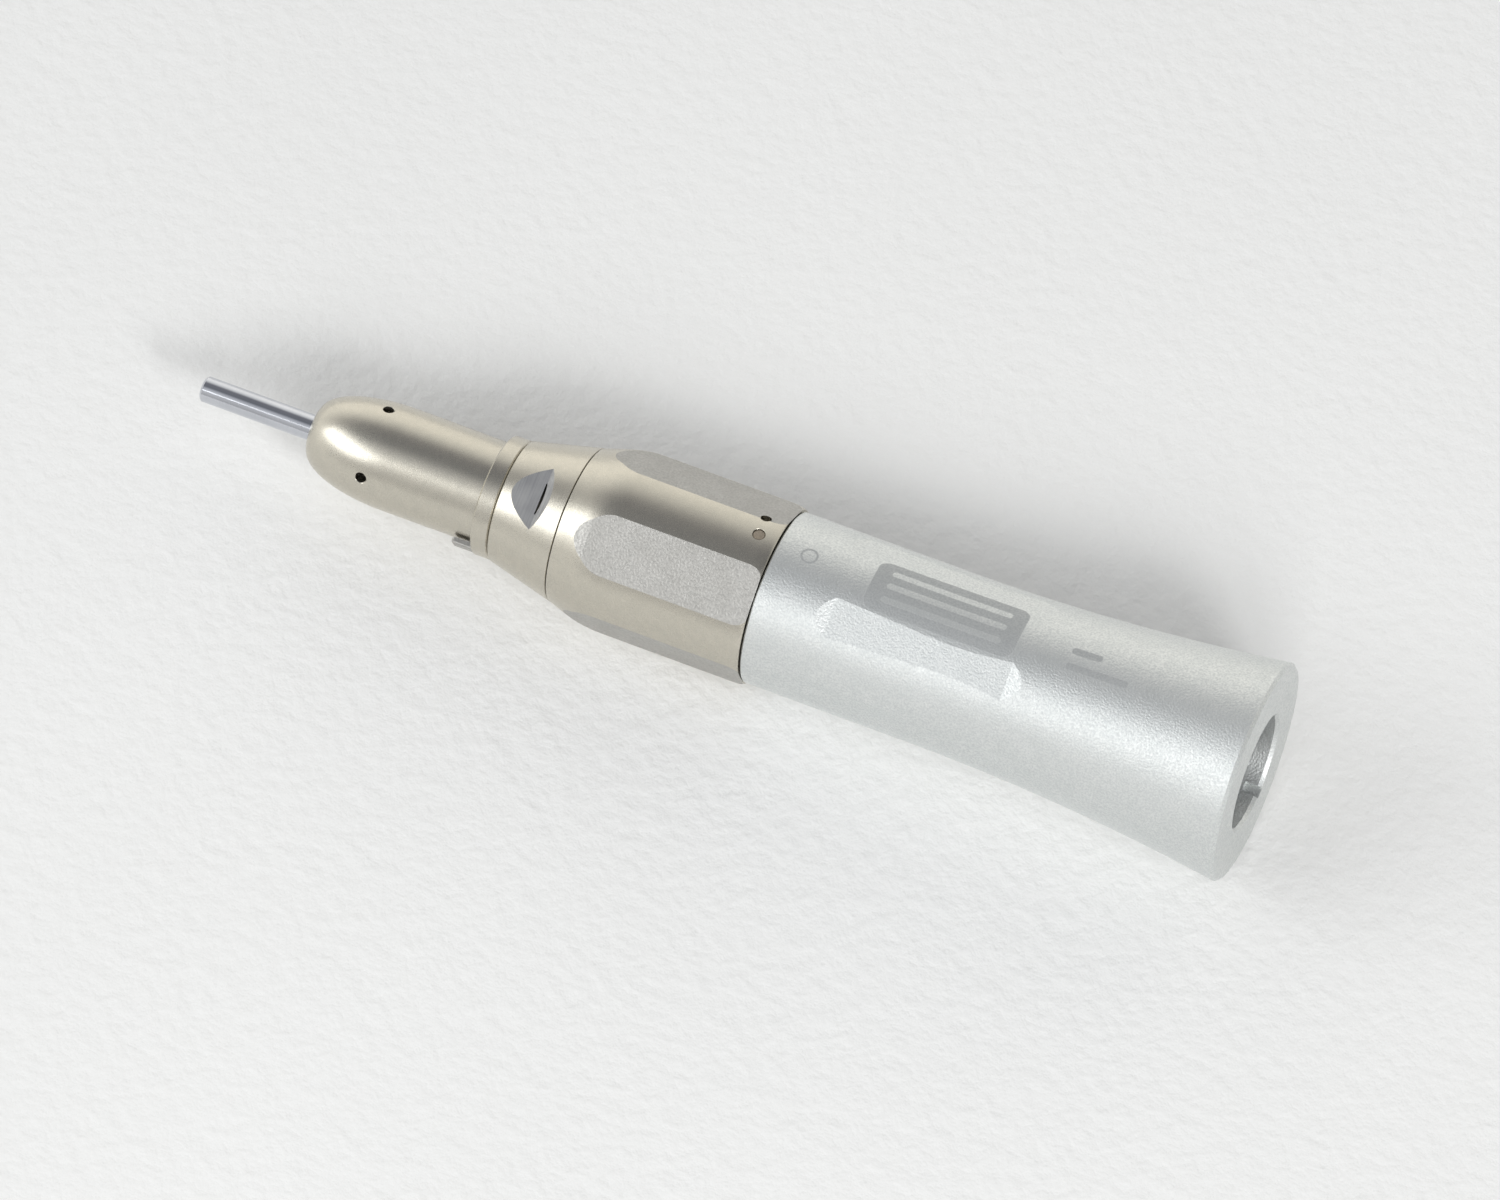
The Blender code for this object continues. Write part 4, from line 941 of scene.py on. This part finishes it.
def build_floor():
    """A wide pale sheet under the handpiece."""
    count = FLOOR_STEPS
    points, faces = [], []
    for row in range(count + 1):
        for column in range(count + 1):
            x = FLOOR_HALF * (2 * column / count - 1)
            y = FLOOR_HALF * (2 * row / count - 1)
            points.append((x, y, FLOOR_SLOPE * (REAR_X - EDGE_CHAMFER * MM - x) - FLOOR_GAP))
    for row in range(count):
        for column in range(count):
            first = row * (count + 1) + column
            faces.append((first, first + 1, first + count + 2, first + count + 1))
    mesh = bpy.data.meshes.new("floor")
    mesh.from_pydata(points, [], faces)
    mesh.materials.append(paper_floor())
    floor = bpy.data.objects.new("floor", mesh)
    bpy.context.scene.collection.objects.link(floor)


def build_world():
    """Soft surroundings, by the angle about the long axis: dark overhead and paler below.

    They grow stronger towards -X, and the far end there is an even grey.
    """
    world = bpy.data.worlds.new("studio")
    bpy.context.scene.world = world
    world.use_nodes = True
    tree = world.node_tree
    coords = tree.nodes.new("ShaderNodeTexCoord")
    split = tree.nodes.new("ShaderNodeSeparateXYZ")
    tree.links.new(coords.outputs["Generated"], split.inputs[0])
    front = maths(tree, "MULTIPLY", split.outputs["Y"], -1.0)
    turn = maths(tree, "ARCTAN2", front, split.outputs["Z"])
    ramp = tree.nodes.new("ShaderNodeValToRGB")
    tree.links.new(spread(tree, turn, -math.pi, math.pi, 0.0, 1.0), ramp.inputs[0])
    stops = (
        (-180, (0.66, 0.65, 0.63)),
        (-85, (0.62, 0.61, 0.58)),
        (-62, (0.64, 0.63, 0.60)),
        (-42, (0.45, 0.45, 0.44)),
        (-24, (0.13, 0.13, 0.14)),
        (8, (0.11, 0.115, 0.125)),
        (24, (0.30, 0.305, 0.32)),
        (40, (0.42, 0.425, 0.43)),
        (60, (0.36, 0.36, 0.36)),
        (82, (0.30, 0.30, 0.30)),
        (110, (0.60, 0.60, 0.58)),
        (180, (0.66, 0.65, 0.63)),
    )
    elements = ramp.color_ramp.elements
    while len(elements) < len(stops):
        elements.new(0.5)
    for element, (angle, colour) in zip(elements, stops):
        element.position = (angle + 180.0) / 360.0
        element.color = (*colour, 1.0)
    background = tree.nodes["Background"]
    end_share = spread(tree, split.outputs["X"], -0.95, -0.55, 1.0, 0.0)
    tone = blend_colours(tree, end_share, ramp.outputs["Color"], (0.46, 0.46, 0.45))
    tree.links.new(tone, background.inputs["Color"])
    strength = spread(tree, split.outputs["X"], -1.0, 1.0, 2.3, 1.22)
    tree.links.new(strength, background.inputs["Strength"])


def add_softbox(name, towards, distance, width, height, power, colour=(1.0, 1.0, 1.0)):
    """A rectangular softbox in a direction from the handpiece, facing it."""
    light = bpy.data.lights.new(name, "AREA")
    light.shape = "RECTANGLE"
    light.size = width
    light.size_y = height
    light.energy = power
    light.color = colour
    item = bpy.data.objects.new(name, light)
    way = Vector(towards).normalized()
    item.location = way * distance
    item.rotation_euler = way.to_track_quat("Z", "Y").to_euler()
    bpy.context.scene.collection.objects.link(item)


def build_camera():
    camera = bpy.data.cameras.new("camera")
    camera.sensor_width = CAMERA_SENSOR
    camera.lens = CAMERA_LENS
    camera.clip_start = 0.05
    item = bpy.data.objects.new("camera", camera)
    right = Vector(CAMERA_RIGHT)
    ahead = Vector(CAMERA_AHEAD)
    up = (ahead * -1.0).cross(right)
    turn = Matrix((right, up, ahead * -1.0)).transposed()
    item.matrix_world = Matrix.Translation(CAMERA_PLACE) @ turn.to_4x4()
    bpy.context.scene.collection.objects.link(item)
    bpy.context.scene.camera = item


build_camera()
build_floor()
build_world()
add_softbox("low_light", (0.645, -0.528, 0.552), 1.0, 0.22, 0.22, 3.1)
add_softbox("near_light", (0.39, -0.73, 0.56), 1.0, 0.34, 0.34, 2.4)
add_softbox("long_light", (-0.66, -0.455, 0.61), 1.0, 0.85, 0.40, 2.55, (0.98, 1.0, 1.01))
dress_cad_nodes()
build_sheath()
build_liner()
build_twist_ring()
build_dot()
build_collar()
build_flange()
build_lug()
build_nose()
build_bar()
build_fork()
build_spring()

bpy.context.scene.view_settings.view_transform = "Standard"
